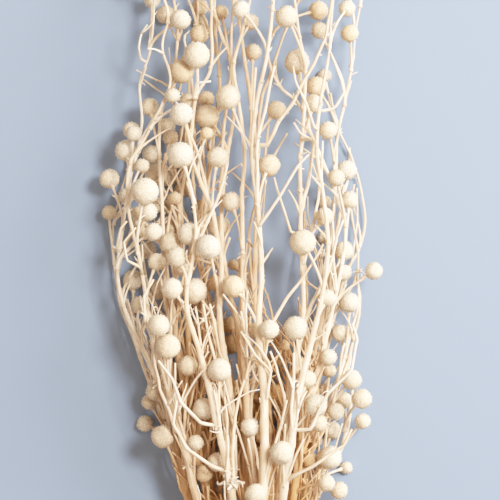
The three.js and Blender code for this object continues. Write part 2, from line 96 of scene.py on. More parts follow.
# Each stem: its layer from the bottom, its seat in the bundle, its radius at the cut end, and its route
STEMS = {
    "stem_low_left": (0, OUTER[7], 1.9, [
        [-30, -125], [-39, -100], [-47.5, -77.5], [-56.5, -52.5], [-65, -30], [-69, -7.5], [-69.5, 12.5],
        [-66, 27.5], [-62.5, 40]]),
    "stem_low_right_arc": (0, OUTER[8], 2, [
        [20, -125], [24, -100], [31.5, -77.5], [37.5, -55], [43, -32.5], [48.5, -12.5], [55.5, 1], [58.5, 16],
        [56.5, 32.5], [51.5, 47.5], [45, 62], [41, 80]]),
    "stem_low_right": (0, OUTER[9], 2.15, [
        [30, -125], [38, -112.5], [45.5, -102.5], [50, -90], [51.5, -77.5]]),
    "stem_left_inner": (1, OUTER[6], 2.1, [
        [-19, -125], [-22, -102.5], [-26, -80], [-30, -57.5], [-32, -35], [-34, -12.5], [-36, 7.5],
        [-34.5, 27.5], [-31.5, 50], [-31, 70], [-30, 90], [-27, 110], [-27, 130], [-29.5, 150]]),
    "stem_mid_left": (1, INNER[4], 2.1, [
        [-10, -125], [-14.5, -100], [-18, -75], [-21.5, -50], [-23.5, -25], [-24.5, 0], [-22, 25],
        [-19.5, 50], [-17, 70], [-15.5, 87.5], [-17.5, 107.5], [-18, 127.5], [-16, 150]]),
    "stem_right_tall": (1, INNER[5], 2, [
        [18, -125], [22, -100], [27, -75], [32.5, -52.5], [37, -30], [40.5, -7.5], [42, 15], [43, 37.5],
        [44, 57.5], [47.5, 72.5], [51, 90], [53, 107.5], [55.5, 122.5], [59, 142.5]]),
    "stem_right_short": (1, OUTER[10], 1.9, [
        [27, -125], [30, -105], [36, -87.5], [42.5, -71.5], [47.5, -55], [51.5, -40], [55, -27.5],
        [54.5, -19.5]]),
    "stem_left_outer": (2, OUTER[5], 2.1, [
        [-31, -125], [-36, -102.5], [-42.5, -75], [-53.5, -50], [-63, -29], [-66.5, -10], [-64, 10],
        [-61, 30], [-56.5, 50], [-54, 65], [-55, 82.5], [-50.5, 100], [-48.5, 120], [-47, 142]]),
    "stem_left_long": (2, INNER[3], 2.1, [
        [-21.5, -125], [-25.5, -100], [-31, -75], [-36, -52.5], [-39, -30], [-42.5, -5], [-44.5, 22.5],
        [-45.5, 45], [-45, 67.5], [-39, 85], [-36, 105], [-38, 125], [-40.5, 145]]),
    "stem_centre_left": (2, (0, 0), 2.3, [
        [-2.5, -125], [-2, -95], [-3.5, -67.5], [-6, -40], [-10.5, -20], [-13.5, 0], [-14, 22.5],
        [-11.5, 47.5], [-8, 70], [-10, 95], [-15.5, 112.5], [-20, 130], [-22, 150]]),
    "stem_centre_thin": (2, INNER[0], 2.25, [
        [9, -125], [9.5, -95], [8.5, -70], [6, -47.5], [2.5, -25], [2.5, 0], [3.5, 22.5], [1, 47.5],
        [0.5, 70], [-2.5, 92.5], [-5, 115], [-8, 135], [-9.5, 154]]),
    "stem_right_wander": (2, OUTER[11], 2.1, [
        [22, -125], [25, -100], [29.5, -77.5], [35.5, -55], [41, -30], [46, -7.5], [48, 11], [44.5, 25],
        [38, 40], [30.5, 59], [24.5, 73], [15, 82], [9, 97.5], [11, 107]]),
    "stem_left_bright": (3, OUTER[4], 2.1, [
        [-26.5, -125], [-32, -100], [-39, -74], [-46, -50], [-51, -27.5], [-55.5, -2.5], [-60.5, 21],
        [-59.5, 42.5], [-50, 60], [-40, 82.5], [-43.5, 100], [-41, 112.5]]),
    "stem_mid_weave": (3, INNER[2], 2.2, [
        [-9, -125], [-8.5, -95], [-10.5, -70], [-14, -45], [-15.5, -25], [-14.5, -6], [-18, 17.5],
        [-25, 35], [-29.5, 50], [-27, 75], [-20, 90], [-19, 115], [-20.5, 145]]),
    "stem_centre_tall": (3, INNER[1], 2.2, [
        [2, -125], [0.5, -100], [-1.5, -75], [-3, -50], [-3.5, -25], [-3.5, 0], [-4, 25], [-2.5, 50],
        [-6, 75], [-8, 92.5], [-3.5, 110], [1, 130], [3, 152]]),
    "stem_right_inner": (3, OUTER[0], 2.1, [
        [13.5, -125], [17, -100], [20.5, -75], [23.5, -52.5], [26.5, -30], [26, -7.5], [25, 17.5], [25, 45],
        [26.5, 70], [27.5, 87.5], [25, 105], [22, 125], [20, 150]]),
    "stem_top_left": (4, OUTER[3], 2.2, [
        [-8, -125], [-14, -95], [-23.5, -55], [-30, -34], [-31, -17.5], [-27, 5], [-27.5, 22.5],
        [-31, 33]]),
    "stem_top_centre": (4, OUTER[2], THICKEST_STEM, [
        [6, -125], [7, -95], [6.5, -67.5], [4, -40], [5, -10], [4, 20], [1.5, 45], [3, 70], [8, 95],
        [11, 117.5], [13.5, 140], [14.5, 156]]),
    "stem_top_right": (4, OUTER[1], 2.2, [
        [16.5, -125], [20.5, -95], [24.5, -67.5], [30, -45], [35.5, -22.5], [39, 2.5], [36, 27.5],
        [33, 50], [35, 75], [39, 100], [41, 125], [42, 150]]),
}

# Balls: x, y, diameter and layer, first on the left and then on the right, roughly from the tips down
BALLS = [
    [-49.5, 126, 8, 1], [-43, 120, 9.5, 0], [-34.5, 114.5, 10, 3], [-25.5, 123, 9, 1], [-25, 115.5, 7.5, 0],
    [-25.5, 108, 9.5, 2], [-26.5, 96.5, 13, 3], [-34, 89, 12, 2], [-14.5, 119.5, 7.5, 2], [-4.5, 119, 9, 3],
    [0.5, 114, 8, 2], [-38.5, 76.5, 7.5, 3], [-50.5, 72, 9, 2], [-34, 67, 11.5, 4], [-31, 74.5, 7.5, 3],
    [-22, 76, 8, 2], [-11, 75.5, 12, 3], [-21.5, 67, 12, 2], [-60, 60.5, 8.5, 1], [-58, 58, 8, 2],
    [-42.5, 63, 9, 0], [-40, 56.5, 8, 1], [-62.5, 50, 10.5, 2], [-21.5, 58, 6.5, 3], [-50, 48.5, 10, 0],
    [-54, 42, 7.5, 2], [-34.5, 47, 13, 4], [-16, 46, 10.5, 3], [-71, 36, 10, 1], [-52, 29, 13.5, 3],
    [-71.5, 19, 7.5, 0], [-63, 27.5, 8, 0], [-50.5, 19, 9, 3], [-56.5, 18.5, 7, 1], [-9.5, 24, 9.5, 3],
    [-54, 9, 8.5, 1], [-48, 9, 9, 2], [-39, 11, 8, 1], [-30.5, 8, 11, 3], [-15.5, 11.5, 11.5, 2],
    [-39.5, 3.5, 11, 2], [-20.5, 1.5, 12, 3], [-36, -3.5, 10, 4], [-34, -9, 7, 3], [-46.5, -6, 9, 2],
    [-59.5, -15.5, 10.5, 0], [-38.5, -19, 10.5, 4], [-27.5, -20.5, 12.5, 3], [-17, -16.5, 9, 2],
    [-8, -18, 11, 3], [-8.5, -7.5, 5.5, 1], [-45, -37, 11, 3], [-40.5, -47.5, 12, 4], [-31, -57.5, 10, 3],
    [-15, -59, 11.5, 4], [-10, -38, 9, 0], [-10, -48, 10, 0], [-29.5, -40, 8, 1], [-47.5, -71, 10, 1],
    [-51, -77, 8, 0], [-53.5, -88.5, 8.5, 0], [-43.5, -93, 11.5, 2],
    [-23, -79, 11, 3], [-27, -95.5, 8, 3], [-16.5, -105.5, 9.5, 3], [-23, -111.5, 9, 2], [-42, -82.5, 6.5, 1],
    [18, 115.5, 11, 3], [1.5, 99.5, 8.5, 2], [23.5, 94, 12.5, 3], [34.5, 121, 10, 1], [35, 111, 8.5, 1],
    [48.5, 121, 8.5, 2], [50, 108.5, 9, 2], [38, 89, 7, 0], [33, 82, 10, 2], [31.5, 73, 9.5, 3],
    [13.5, 70, 9.5, 2], [39, 60, 9, 2], [9.5, 42, 11, 3], [49, 40.5, 10, 1], [43, 36, 8.5, 2],
    [38, 24.5, 7, 0], [37, 16.5, 9, 3], [50, 25, 9, 2], [26, 3.5, 13, 4], [47.5, -0.5, 10, 1],
    [38, 6.5, 7, 0], [62, -10.5, 9, 2], [47, -11.5, 8.5, 2], [50, -26.5, 10, 1], [38, -24, 9, 3],
    [45.5, -42, 9, 1], [9.5, -39, 9.5, 4], [3.5, -40, 8.5, 3], [22.5, -38.5, 12, 3], [39, -53.5, 8.5, 2],
    [40, -61, 7, 1], [17, -48, 6, 2], [25, -56, 5.5, 3], [28, -64, 9.5, 3], [51, -65, 10, 2],
    [55.5, -74, 10, 3], [47.5, -76, 8.5, 1], [32.5, -76.5, 11, 4], [43, -81, 8.5, 2], [34, -86, 9, 3],
    [57, -86.5, 8, 1], [0, -87.5, 9.5, 3], [6.5, -94, 9, 2], [15.5, -99.5, 11.5, 4], [4.5, -74.5, 6, 1],
    [40, -104, 12, 2], [38, -116, 8.5, 3], [45, -121.5, 9, 1], [2.5, -120, 10, 3], [49, -111, 6.5, 0],
    [38.5, -71.5, 8, 0],
]

seed = 20
SEED_STEP = 16807
SEED_RANGE = 2147483647


def draw(low=0.0, high=1.0):
    """The next number of a seeded series, between low and high."""
    global seed
    seed = seed * SEED_STEP % SEED_RANGE
    return low + (high - low) * (seed / SEED_RANGE)


def unit(a):
    """The directions of vectors, as vectors of length 1."""
    return a / np.sqrt((a * a).sum(-1, keepdims=True))


def bezier(start, bend, end, t):
    """Points at the shares t of a curve that sets out towards its bend."""
    t = np.asarray(t, float)[:, None]
    return start * (1 - t) ** 2 + bend * 2 * t * (1 - t) + end * t * t


# Everything placed so far, as round-ended rods. A ball is a rod of no length, and clears its own spray too.
MOST_RODS = 20000
NO_SPRAY = -2
BALL = -1
TINY = 1e-9
rod_ends = np.zeros((MOST_RODS, 2, 3))
rod_radii = np.zeros(MOST_RODS)
rod_sprays = np.full(MOST_RODS, BALL)
placed = 0


def place(line, radius, spray):
    """Sets down a line of a spray as rods."""
    global placed
    for start, end in zip(line, line[1:]):
        rod_ends[placed], rod_radii[placed], rod_sprays[placed] = (start, end), radius, spray
        placed += 1


def rod_is_clear(p, q, radius, spray, gap):
    """Whether a rod from p to q keeps the gap to all other rods but the wood of its own spray."""
    s, t = rod_ends[:placed, 0], rod_ends[:placed, 1]
    d1, d2, r = q - p, t - s, p - s
    a, e, f = d1 @ d1, (d2 * d2).sum(1), (d2 * r).sum(1)
    c, b = r @ d1, d2 @ d1
    spread = a * e - b * b
    u = np.where(spread > TINY, np.clip((b * f - c * e) / np.maximum(spread, TINY), 0, 1), 0)
    w = np.where(e > TINY, np.clip((b * u + f) / np.maximum(e, TINY), 0, 1), 0)
    u = np.clip((b * w - c) / a, 0, 1) if a > TINY else np.zeros(placed)
    apart = (p + d1 * u[:, None]) - (s + d2 * w[:, None])
    reach = radius + rod_radii[:placed] + gap
    return bool(np.all((rod_sprays[:placed] == spray) | ((apart * apart).sum(1) >= reach * reach)))


def is_clear(line, radius, spray=NO_SPRAY, gap=FREE_GAP):
    """Whether every rod of a line is clear."""
    return all(rod_is_clear(p, q, radius, spray, gap) for p, q in zip(line, line[1:]))


def stem_line(layer, seat, route):
    """A stem from its cut end, straight through the tie, and up to its layer along its route."""
    x, z = seat

    def height(y):
        t = min(1, max(0, (y - TIE_Y - WAIST) / (FAN_END_Y - TIE_Y - WAIST)))
        return BUNDLE_Z + z + (LAYER_HEIGHTS[layer] - BUNDLE_Z - z) * (t * t * (3 - 2 * t))

    cut = CUT_END_Y - CUT_STAGGER * draw()
    half = TIE_Y / 2 + route[0][1] / 2
    return np.array([
        [x * FLARE, cut, BUNDLE_Z + z * FLARE],
        [x, TIE_Y - WAIST, BUNDLE_Z + z],
        [x, TIE_Y + WAIST, BUNDLE_Z + z],
        [x + (route[0][0] - x) * HALFWAY_SPREAD, half, height(half)],
    ] + [[rx, ry, height(ry)] for rx, ry in route])


# A spray is a stem with all that grows on it. A fork is a place for a shoot: where it is, the way that the
# wood runs there, and how many stalks it bears.
sprays = []
for name, (layer, seat, radius, route) in STEMS.items():
    line = stem_line(layer, seat, route)
    last = len(line) - 1
    radii = [radius * (1 - (1 - STEM_TIP_SHARE) * i / last) for i in range(last + 1)]
    forks = [[line[k], unit(line[min(k + 1, last)] - line[k - 1]), 0] for k in range(FIRST_FORK, last + 1)]
    for i in range(1, last + 1):
        place(line[i - 1:i + 1], radii[i - 1], len(sprays))
    sprays.append({"name": name, "number": len(sprays), "line": line, "radii": radii, "forks": forks,
                   "shoots": [], "balls": []})


def shoot(fork, end):
    """A stalk or twig leaves its fork along the branch and bends round to its own end."""
    length = math.sqrt(((end - fork[0]) ** 2).sum())
    bend = fork[0] + fork[1] * (STALK_BEND * length)
    return bend, np.vstack([fork[0], bezier(fork[0], bend, end, STALK_STEPS)])


def add_forks(spray, line):
    """Makes each point of a line but its ends a fork."""
    spray["forks"] += [[line[i], unit(line[i + 1] - line[i - 1]), 1] for i in range(1, len(line) - 1)]


def grow_ball(x, y, diameter, layer):
    """Places a ball near the height of its layer, on a stalk from the cheapest fork that lets it pass."""
    radius = diameter / 2
    rest = radius - FLAT_SPOT
    choices = []
    for lift in LIFTS:
        height = rest + lift if layer == 0 else max(rest, LAYER_HEIGHTS[layer] + lift)
        middle = np.array([x, y, height], float)
        if height < rest or not is_clear([middle, middle], radius * (1 + BALL_RELIEF)):
            continue
        for spray in sprays:
            at, along = (np.array([fork[k] for fork in spray["forks"]]) for k in (0, 1))
            way = middle - at
            length = np.sqrt((way * way).sum(1))
            turn = 1 - (way * along).sum(1) / length
            stalks = np.array([fork[2] for fork in spray["forks"]])
            cost = (COSTS["length"] * np.abs(length - USUAL_STALK) + COSTS["turn"] * turn
                    + COSTS["stalks"] * stalks + COSTS["lift"] * abs(lift))
            near = (length >= radius + SHORTEST_BARE) & (length <= LONGEST_STALK) & (turn <= SHARPEST_TURN)
            choices += [(cost[i], spray, spray["forks"][i], middle) for i in np.flatnonzero(near)]
    choices.sort(key=lambda choice: choice[0])
    for _, spray, fork, middle in choices:
        bend, line = shoot(fork, middle)
        if not is_clear(line, STALK_RADIUS, spray["number"]):
            continue
        place(line, STALK_RADIUS, spray["number"])
        place([middle, middle], radius * (1 + BALL_RELIEF), BALL)
        fork[2] += 1
        spray["shoots"].append((fork[0], bend, middle, STALK_RADIUS, STALK_TIP_RADIUS, radius))
        spray["balls"].append((middle, radius, unit(line[-2] - middle)))
        add_forks(spray, line)
        return


tip_balls = []
for spray in sprays:
    x, y, z = spray["line"][-1]
    if y <= TALL_Y:
        continue
    layer = LAYER_HEIGHTS.index(round(z))
    for ahead, aside in TIP_BALLS:
        tip_balls.append([x + draw(-aside, aside), y + ahead, draw(*TIP_DIAMETER), max(1, layer)])
for ball in sorted(BALLS + tip_balls, key=lambda ball: ball[1]):
    grow_ball(*ball)


def turn_side(at, side):
    """1 for a shoot that turns right and -1 for left: inwards on the bunch's sides, and else either way."""
    aside = at[0] - MIDDLE[0]
    turns_left = aside > 0 if abs(aside) > side else draw() < 0.5
    return -1 if turns_left else 1


# Bare twigs have lost their balls
bare_forks = [
    (draw(), spray, fork) for spray in sprays for fork in spray["forks"]
    if fork[2] == 0 and fork[0][1] > FAN_END_Y
]
grown = 0
for _, spray, fork in sorted(bare_forks, key=lambda bare: bare[0]):
    if grown == TWIGS:
        break
    length = draw(*TWIG_LENGTH)
    lean = turn_side(fork[0], SIDE) * draw(*TWIG_LEAN)
    dx, dy, dz = fork[1]
    way = unit(np.array([dx + lean * dy, dy - lean * dx, dz + draw(-TWIG_RISE, TWIG_RISE)]))
    end = fork[0] + way * length
    bend, line = shoot(fork, end)
    if min(line[:, 2]) < TWIG_RADIUS or not is_clear(line, TWIG_RADIUS, spray["number"]):
        continue
    place(line, TWIG_RADIUS, spray["number"])
    spray["shoots"].append((fork[0], bend, end, TWIG_RADIUS, TWIG_TIP_RADIUS, 0))
    grown += 1

# The stems' wood
# Each stem, its stalks and its twigs grew as one piece of wood, which was cut, bleached and dried. It is
# kinked and swollen at its nodes, ribbed along the grain, and set with short spurs and broken stubs.
SIDE_BRANCHES = (2, 4, 2, 1, 1, 1, 1, 1)  # grown from a stem's forks, from the lowest fork up
BRANCH_STEP = 9
BRANCH_LENGTH = (45, 150)
BRANCH_RADIUS = (0.7, 1.1)
BRANCH_LEAN = ((-1, 1), (1.5, 4), (-0.6, 0.6))  # least and most of the way that it bends to, in x, y and z
FEWEST_BRANCH_POINTS = 4
FINE_TWIGS = 165
FINE_LENGTH = (18, 55)
FINE_RADIUS = (0.45, 0.72)
FINE_SLANT = (0.1, 0.75)  # how far a fine twig turns aside from its branch
FINE_RISE = 0.5
FINE_LEAN = ((-1.5, 1.5), (-0.5, 2), (-0.5, 0.5))
FINE_PULL = (0.3, 2.2)  # how strongly it bends that way
FINE_SIDE = 36  # as SIDE, for fine twigs
THINNED_Y = (-110, -50, -20, 0)  # the crowded foot and the open top hold fewer fine twigs:
THINNED = (0.8, 0.5, 0.45, 0.8)  # this share of those that would start there isn't grown
FORKED_SHARE = 0.5  # of the fine twigs that others fork from
DEEP_TWIGS = 310  # in the shaded depth of the bunch, under its upper stems
DEEP_LENGTH = (20, 60)
DEEP_CEILING = 30
DEEP_Y = (-215, -125, -60, -20, 60, 100)  # the right side of the depth: past it the surface shows
DEEP_RIGHT = (12, 36, 34, 2, -12, -34)
TWIG_STEP = 5
FEWEST_TWIG_POINTS = 3
TRIES_EACH = 20
SPREADS = (0.2, 0.2, 0.25, 0.25, 0.3, 0.35, 0.4)  # of the turns that are tried at each step
LEAN_PULL = 0.12
CLOSE = 0.05  # kept free round side branches and fine twigs
OUTLINE_Y = (-215, -125, -75, -20, 60, 150)  # the bunch's two sides, where branches and twigs stop
OUTLINE_LEFT = (-13, -34, -48, -67, -62, -48)
OUTLINE_RIGHT = (13, 38, 50, 56, 54, 50)
OUTLINE_TOP_Y = 156
OUTLINE_Z = (1.2, 54)
OPEN_PLACES = [((16.5, 7), (10.5, 44)), ((-5, 42), (6, 45))]  # middle and half size: little grows in them
HEAD_MARGIN = 0.6  # round each ball, where nothing fine crosses it
SUNK_HEADS = [  # x, y, diameter and layer of 40 balls that barely show, deep between the stems
    (-41.7, 37.5, 10, 1), (-47.5, 38, 11, 0), (-31.7, 59, 9, 1), (-46, -20, 10, 1), (-26, -26, 9, 1),
    (-39, -28, 11, 0), (-32, 32, 9, 0), (-52, 0, 9, 0), (13, -73, 11, 1), (1.7, -79, 11, 1),
    (-10, -71, 10, 0), (2, -101, 11, 1), (18, -86, 10, 0), (-34, -72, 10, 0), (12, -58, 9, 0),
    (-22, -93, 9, 1), (-24, 22, 8, 0), (-56, -28, 9, 0), (-47, -48, 9, 0), (-24, -50, 10, 0),
    (-37, -62, 9, 0), (-20, -64, 9, 0), (-42, -60, 10, 0), (-28, -102, 9, 0), (-8, -98, 9, 0),
    (-30, -84, 9, 0), (42, -92, 9, 0), (-56, 14, 9, 0), (-33, 44, 8, 0), (-41, 22, 8, 0), (-43, 14, 7, 0),
    (-38, 26, 7, 1), (-47, 23, 8, 0), (33, -97, 8, 0), (30, -106, 8, 1), (18, -95, 8, 0), (-17, -80, 8, 0),
    (-38, -92, 9, 1), (28, -48, 8, 0), (32, -58, 8, 0),
]


def cloud(count, scale=1.0):
    """Numbers drawn from a bell-shaped spread round zero."""
    return np.array([draw() + draw() + draw() - 1.5 for _ in range(count)]) * scale


# The balls in sight, and then the sunk ones, which may be crossed
heads = np.array([[*middle, radius] for spray in sprays for middle, radius, _ in spray["balls"]])
for sunk_head in SUNK_HEADS:
    grow_ball(*sunk_head)


def hides_head(point):
    """Whether a point lies over a head, which the fine twigs leave in sight."""
    aside = np.hypot(heads[:, 0] - point[0], heads[:, 1] - point[1])
    return bool(np.any((aside < heads[:, 3] + HEAD_MARGIN) & (heads[:, 2] < point[2])))


def inside(point, deep):
    """Whether a point lies within the bunch, or within its depth, and out of its open places."""
    x, y, z = point
    if deep and (z > DEEP_CEILING or x > np.interp(y, DEEP_Y, DEEP_RIGHT)):
        return False
    for (middle_x, middle_y), (half_x, half_y) in OPEN_PLACES:
        if ((x - middle_x) / half_x) ** 2 + ((y - middle_y) / half_y) ** 2 < 1:
            return False
    return (np.interp(y, OUTLINE_Y, OUTLINE_LEFT) < x < np.interp(y, OUTLINE_Y, OUTLINE_RIGHT)
            and y < OUTLINE_TOP_Y and OUTLINE_Z[0] < z < OUTLINE_Z[1])


def grow_branch(spray, start, way, lean, length, step, radius, deep=False):
    """Grows a thin branch by short steps that bend slowly to its lean, each turned so it clears the rest."""
    points = [start]
    while (len(points) - 1) * step < length:
        for spread in SPREADS:
            turned = unit(way + LEAN_PULL * lean + cloud(3, spread))
            end = points[-1] + turned * step
            over = hides_head(end) or hides_head((points[-1] + end) / 2)
            if inside(end, deep) and not over and is_clear([points[-1], end], radius, spray["number"], CLOSE):
                break
        else:
            break
        place([points[-1], end], radius, spray["number"])
        points.append(end)
        way = turned
    return np.array(points)


def smooth_line(points, radii, step):
    """The curve through the points, in steps of about the given length, with the radii along it."""
    padded = np.vstack([points[0], points, points[-1]])
    line, along = [], []
    for i in range(len(points) - 1):
        a, b, c, d = padded[i:i + 4]
        count = max(1, round(float(np.linalg.norm(c - b)) / step))
        t = (np.arange(count) / count)[:, None]
        line.append(0.5 * (2 * b + (c - a) * t + (2 * a - 5 * b + 4 * c - d) * t * t
                           + (3 * b - a - 3 * c + d) * t ** 3))
        along.append(i + t[:, 0])
    line.append(points[-1:])
    along.append([len(points) - 1])
    return np.vstack(line), np.interp(np.concatenate(along), range(len(points)), radii)


# Side branches that stand out in the bunch: each stem's name, the height of the branch's end, its radius
# where it leaves the stem, and its route
STANDING_OUT = [
    ("stem_top_centre", 54, 1.1, [
        [7.9, 51.7], [11.9, 57.3], [17.5, 67.6], [23.9, 79.6], [31.8, 91.5], [38.2, 105], [39.8, 117],
        [41, 128]]),
    ("stem_top_centre", 53, 0.9, [[5.5, 13.5], [14.3, 26.2], [23.9, 41.3], [29, 47]]),
    ("stem_right_inner", 46, 0.8, [[20.6, 8], [16.7, 19], [13.5, 29.3], [11.9, 36]]),
    ("stem_right_inner", 50, 0.9, [[30.2, 54.9], [24.7, 57.3], [21.5, 62.8]]),
    ("stem_top_right", 54, 0.9, [[31.8, 59.7], [27.8, 70.8], [22.3, 82], [21, 90]]),
    ("stem_top_right", 50, 0.8, [[42, 70], [46.2, 77.2], [44.6, 83.6], [39.8, 97.1]]),
    ("stem_left_outer", 40, 0.85, [[-66.3, 0.7], [-64.3, 10.3], [-61.1, 14.3]]),
    ("stem_left_bright", 48, 0.9, [[-53.9, -8.9], [-60.7, -5.7], [-62.3, 3.1], [-56.3, 11.1]]),
    ("stem_left_bright", 50, 0.95, [[-47.5, -47.1], [-51.5, -35.2], [-52.3, -22.4], [-47.5, -14.5]]),
    ("stem_left_bright", 48, 1.0, [
        [-37.2, -90], [-40.4, -76.6], [-45.1, -68.6], [-47.9, -56.7], [-47.5, -41.5]]),
    ("stem_top_left", 54, 1.0, [[-24.4, -84.6], [-34, -75], [-38, -63.9], [-45.1, -54.3]]),
    ("stem_centre_tall", 54, 1.1, [
        [-2.1, -90], [-2.1, -60.7], [-4.5, -44.7], [-8.5, -32.8], [-13.3, -9.7], [-17.2, 8.7],
        [-18.8, 22.2]]),
    ("stem_top_centre", 53, 0.9, [[9, -73.4], [10.7, -59.9], [2.7, -51.9], [-4.5, -40]]),
    ("stem_top_centre", 50, 0.95, [[12, -36], [18.7, -24], [25, -15], [30.6, -6], [36.2, 3]]),
    ("stem_left_outer", 36, 0.8, [[-55, 95.5], [-55.5, 101], [-54.3, 107.5], [-51.1, 112.2]]),
    ("stem_left_bright", 48, 0.7, [[-47, 99.3], [-50.5, 99.3]]),
    ("stem_mid_weave", 52, 0.9, [[-28, 75.6], [-26.4, 82], [-19.2, 83]]),
    ("stem_top_right", 54, 1.0, [[30, -88], [38, -70], [49, -58], [53, -44], [50, -36]]),
    ("stem_top_centre", 54, 1.0, [[12, -112], [22, -92], [25, -80], [37, -66]]),
    ("stem_top_left", 54, 1.0, [[-18, -108], [-30, -98], [-38, -86], [-36, -74]]),
    ("stem_top_right", 54, 1.0, [[22, -112], [34, -104], [46, -96], [50, -88]]),
]
STANDING_RISE = 2  # points over which such a branch reaches its height
STANDING_LIFTS = (0, 2, -2, 4, -4, 6, -6, -8, -10, -12, -14)  # off that height, tried until it is clear
START_STEP = 3.0  # between the points of the stem that it may leave from
FALLS_BACK = 400  # what makes a start poor that lies further up the stem than the route
for spray in sprays:
    spray["branches"] = []
for name, height, radius, route in STANDING_OUT:
    spray = next(spray for spray in sprays if spray["name"] == name)
    line, _ = smooth_line(spray["line"], spray["radii"], START_STEP)
    apart = ((line[:, :2] - route[0]) ** 2).sum(1)
    start = line[np.argmin(apart + FALLS_BACK * (line[:, 1] > route[0][1]))]
    for lift in STANDING_LIFTS:
        rise = np.minimum(1, np.arange(1, len(route) + 1) / STANDING_RISE)
        rest = [[x, y, start[2] + (height + lift - start[2]) * r] for (x, y), r in zip(route, rise)]
        points = np.vstack([start, rest])
        if is_clear(points, radius, spray["number"], CLOSE):
            break
    else:
        continue
    place(points, radius, spray["number"])
    spray["branches"].append((points, radius))
    add_forks(spray, points)

fork_turns = [(draw(), spray, fork) for spray in sprays
              for fork, count in zip(list(spray["forks"]), SIDE_BRANCHES) for _ in range(count)]
for _, spray, fork in sorted(fork_turns, key=lambda turn: turn[0]):
    radius = draw(*BRANCH_RADIUS)
    lean = unit(np.array([draw(*span) for span in BRANCH_LEAN]))
    points = grow_branch(spray, fork[0], fork[1], lean, draw(*BRANCH_LENGTH), BRANCH_STEP, radius)
    if len(points) < FEWEST_BRANCH_POINTS:
        continue
    spray["branches"].append((points, radius))
    add_forks(spray, points)


def grow_twigs(count, lengths, deep):
    """Fine side twigs fill the bunch between the stems. They leave at a wide angle and bend up or droop."""
    tries = grown = 0
    while grown < count and tries < TRIES_EACH * count:
        tries += 1
        spray = sprays[int(draw(0, len(sprays)))]
        at, along, _ = spray["forks"][int(draw(0, len(spray["forks"])))]
        side = turn_side(at, FINE_SIDE)
        if deep and not inside(at, deep) or not deep and draw() < np.interp(at[1], THINNED_Y, THINNED):
            continue
        across = np.array([along[1], -along[0], 0]) * (side * draw(*FINE_SLANT))
        way = unit(along + across + [0, 0, draw(-FINE_RISE, FINE_RISE)])
        lean = unit(np.array([draw(*span) for span in FINE_LEAN])) * draw(*FINE_PULL)
        radius = draw(*FINE_RADIUS)
        points = grow_branch(spray, at, way, lean, draw(*lengths), TWIG_STEP, radius, deep)
        if len(points) < FEWEST_TWIG_POINTS:
            continue
        spray["branches"].append((points, radius))
        grown += 1
        if draw() < FORKED_SHARE:
            add_forks(spray, points)


grow_twigs(DEEP_TWIGS, DEEP_LENGTH, deep=True)
grow_twigs(FINE_TWIGS, FINE_LENGTH, deep=False)

# The shape of the wood, its spurs and its peeled fibre
THICKNESS_Y = (-215, -120, -80, -20)  # a stem's thickness along the bunch, as a share of its solid's
THICKNESS = (1, 1.15, 1.15, 0.84)
ASIDE_X = (32, 60)  # the outer stems are slimmer still
ASIDE_THICKNESS = (1, 0.76)
STALK_THICKNESS = 0.87
HELD_Y = TIE_Y + 40  # below it the tie holds the stems straight
BARE_Y = TIE_Y + 30  # and they have no spurs
STEM_STEP = 2.0  # between the rings of points round a stem, a stalk and a branch
STALK_STEP = 1.6
BRANCH_RING_STEP = 2.2
STEM_RIBS = 0.07
RIBS = 0.12
BRANCH_TAPER = 0.6
FIRST_NODE = (2, 8)
NODE_SPACING = (9.0, 19.0)
KINK = 0.5  # how far a stem's nodes stand off its smooth line
TWIG_KINK = 1.0
SWELLING = (0.05, 0.3)  # of the radius at a node
SWELLING_LENGTH = 0.9
ROUGH_BARK = 0.07
TINTS = (-0.4, 0.4)
GRAIN_STARTS = (0, 400)  # where on the endless grain each length of wood is cut from
CUT_FACE = ((0.45, 2.0), (0.94, 1.0))  # its rings, as shares of the radius, and the tints that mark them
SPUR_CHANCE = 0.28
SPUR_LENGTH = (1.2, 4.5)
SPUR_LEAN = (0.2, 1.3)  # how far it leans along the stem
SPUR_RADIUS = 0.75
SPUR_TIP = (0.2, 0.55)  # shares of its radius at the root
COLLAR = 0.45  # how much a stalk widens at its stem, as a share of its radius
COLLAR_LENGTH = 2.2
CUP = 0.7  # how much it widens under its ball, in mm
CUP_LENGTH = 0.8
CUP_SEAT = 0.92
SHREDS = 120  # bunches of them, shared among the stems
SHRED_BUNCH = (1, 5)
SHRED_LENGTH = (3, 8)
SHRED_CURL = (1, 4)
SHRED_RADIUS = 0.5
SHRED_FLATNESS = 0.3
SHRED_LOWEST = 0.7
LOWEST = 0.02  # over the surface, where what would dip lower is pressed flat
TUFTS = [  # x, y and size of the tufts of peeled fibre
    (-7.5, -114, 10), (-21, -89, 7), (-31.7, -107, 5), (-55, -69, 6), (-69, 1, 5), (-8, -2, 4), (24, 30, 4),
    (-19, -112, 7), (15, -112, 5), (24, -66, 5), (8, -76, 5),
]
TUFT_SHREDS = 4  # for each mm of a tuft's size
TUFT_SPREAD = 0.25  # these two as shares of its size
TUFT_LENGTH = (0.5, 1.1)
TUFT_WIDTH = 0.15  # how much wider its shreds are for each mm of its size
TUFT_RISE = 0.4
UPPER_FIRST = 0.3  # how much nearer a stem counts for each mm that it lies higher


def frames(line):
    """The direction of a line at each point, and two directions across it that don't twist."""
    along = unit(np.gradient(line, axis=0))
    side = np.array([0.3, 0.1, 1.0])
    sides = []
    for direction in along:
        side = side - direction * (side @ direction)
        side = side / math.sqrt(side @ side)
        sides.append(side)
    sides = np.array(sides)
    return along, sides, np.cross(along, sides)


def travelled(line):
    """How far along a line each of its points lies."""
    return np.concatenate([[0], np.cumsum(np.linalg.norm(np.diff(line, axis=0), axis=1))])


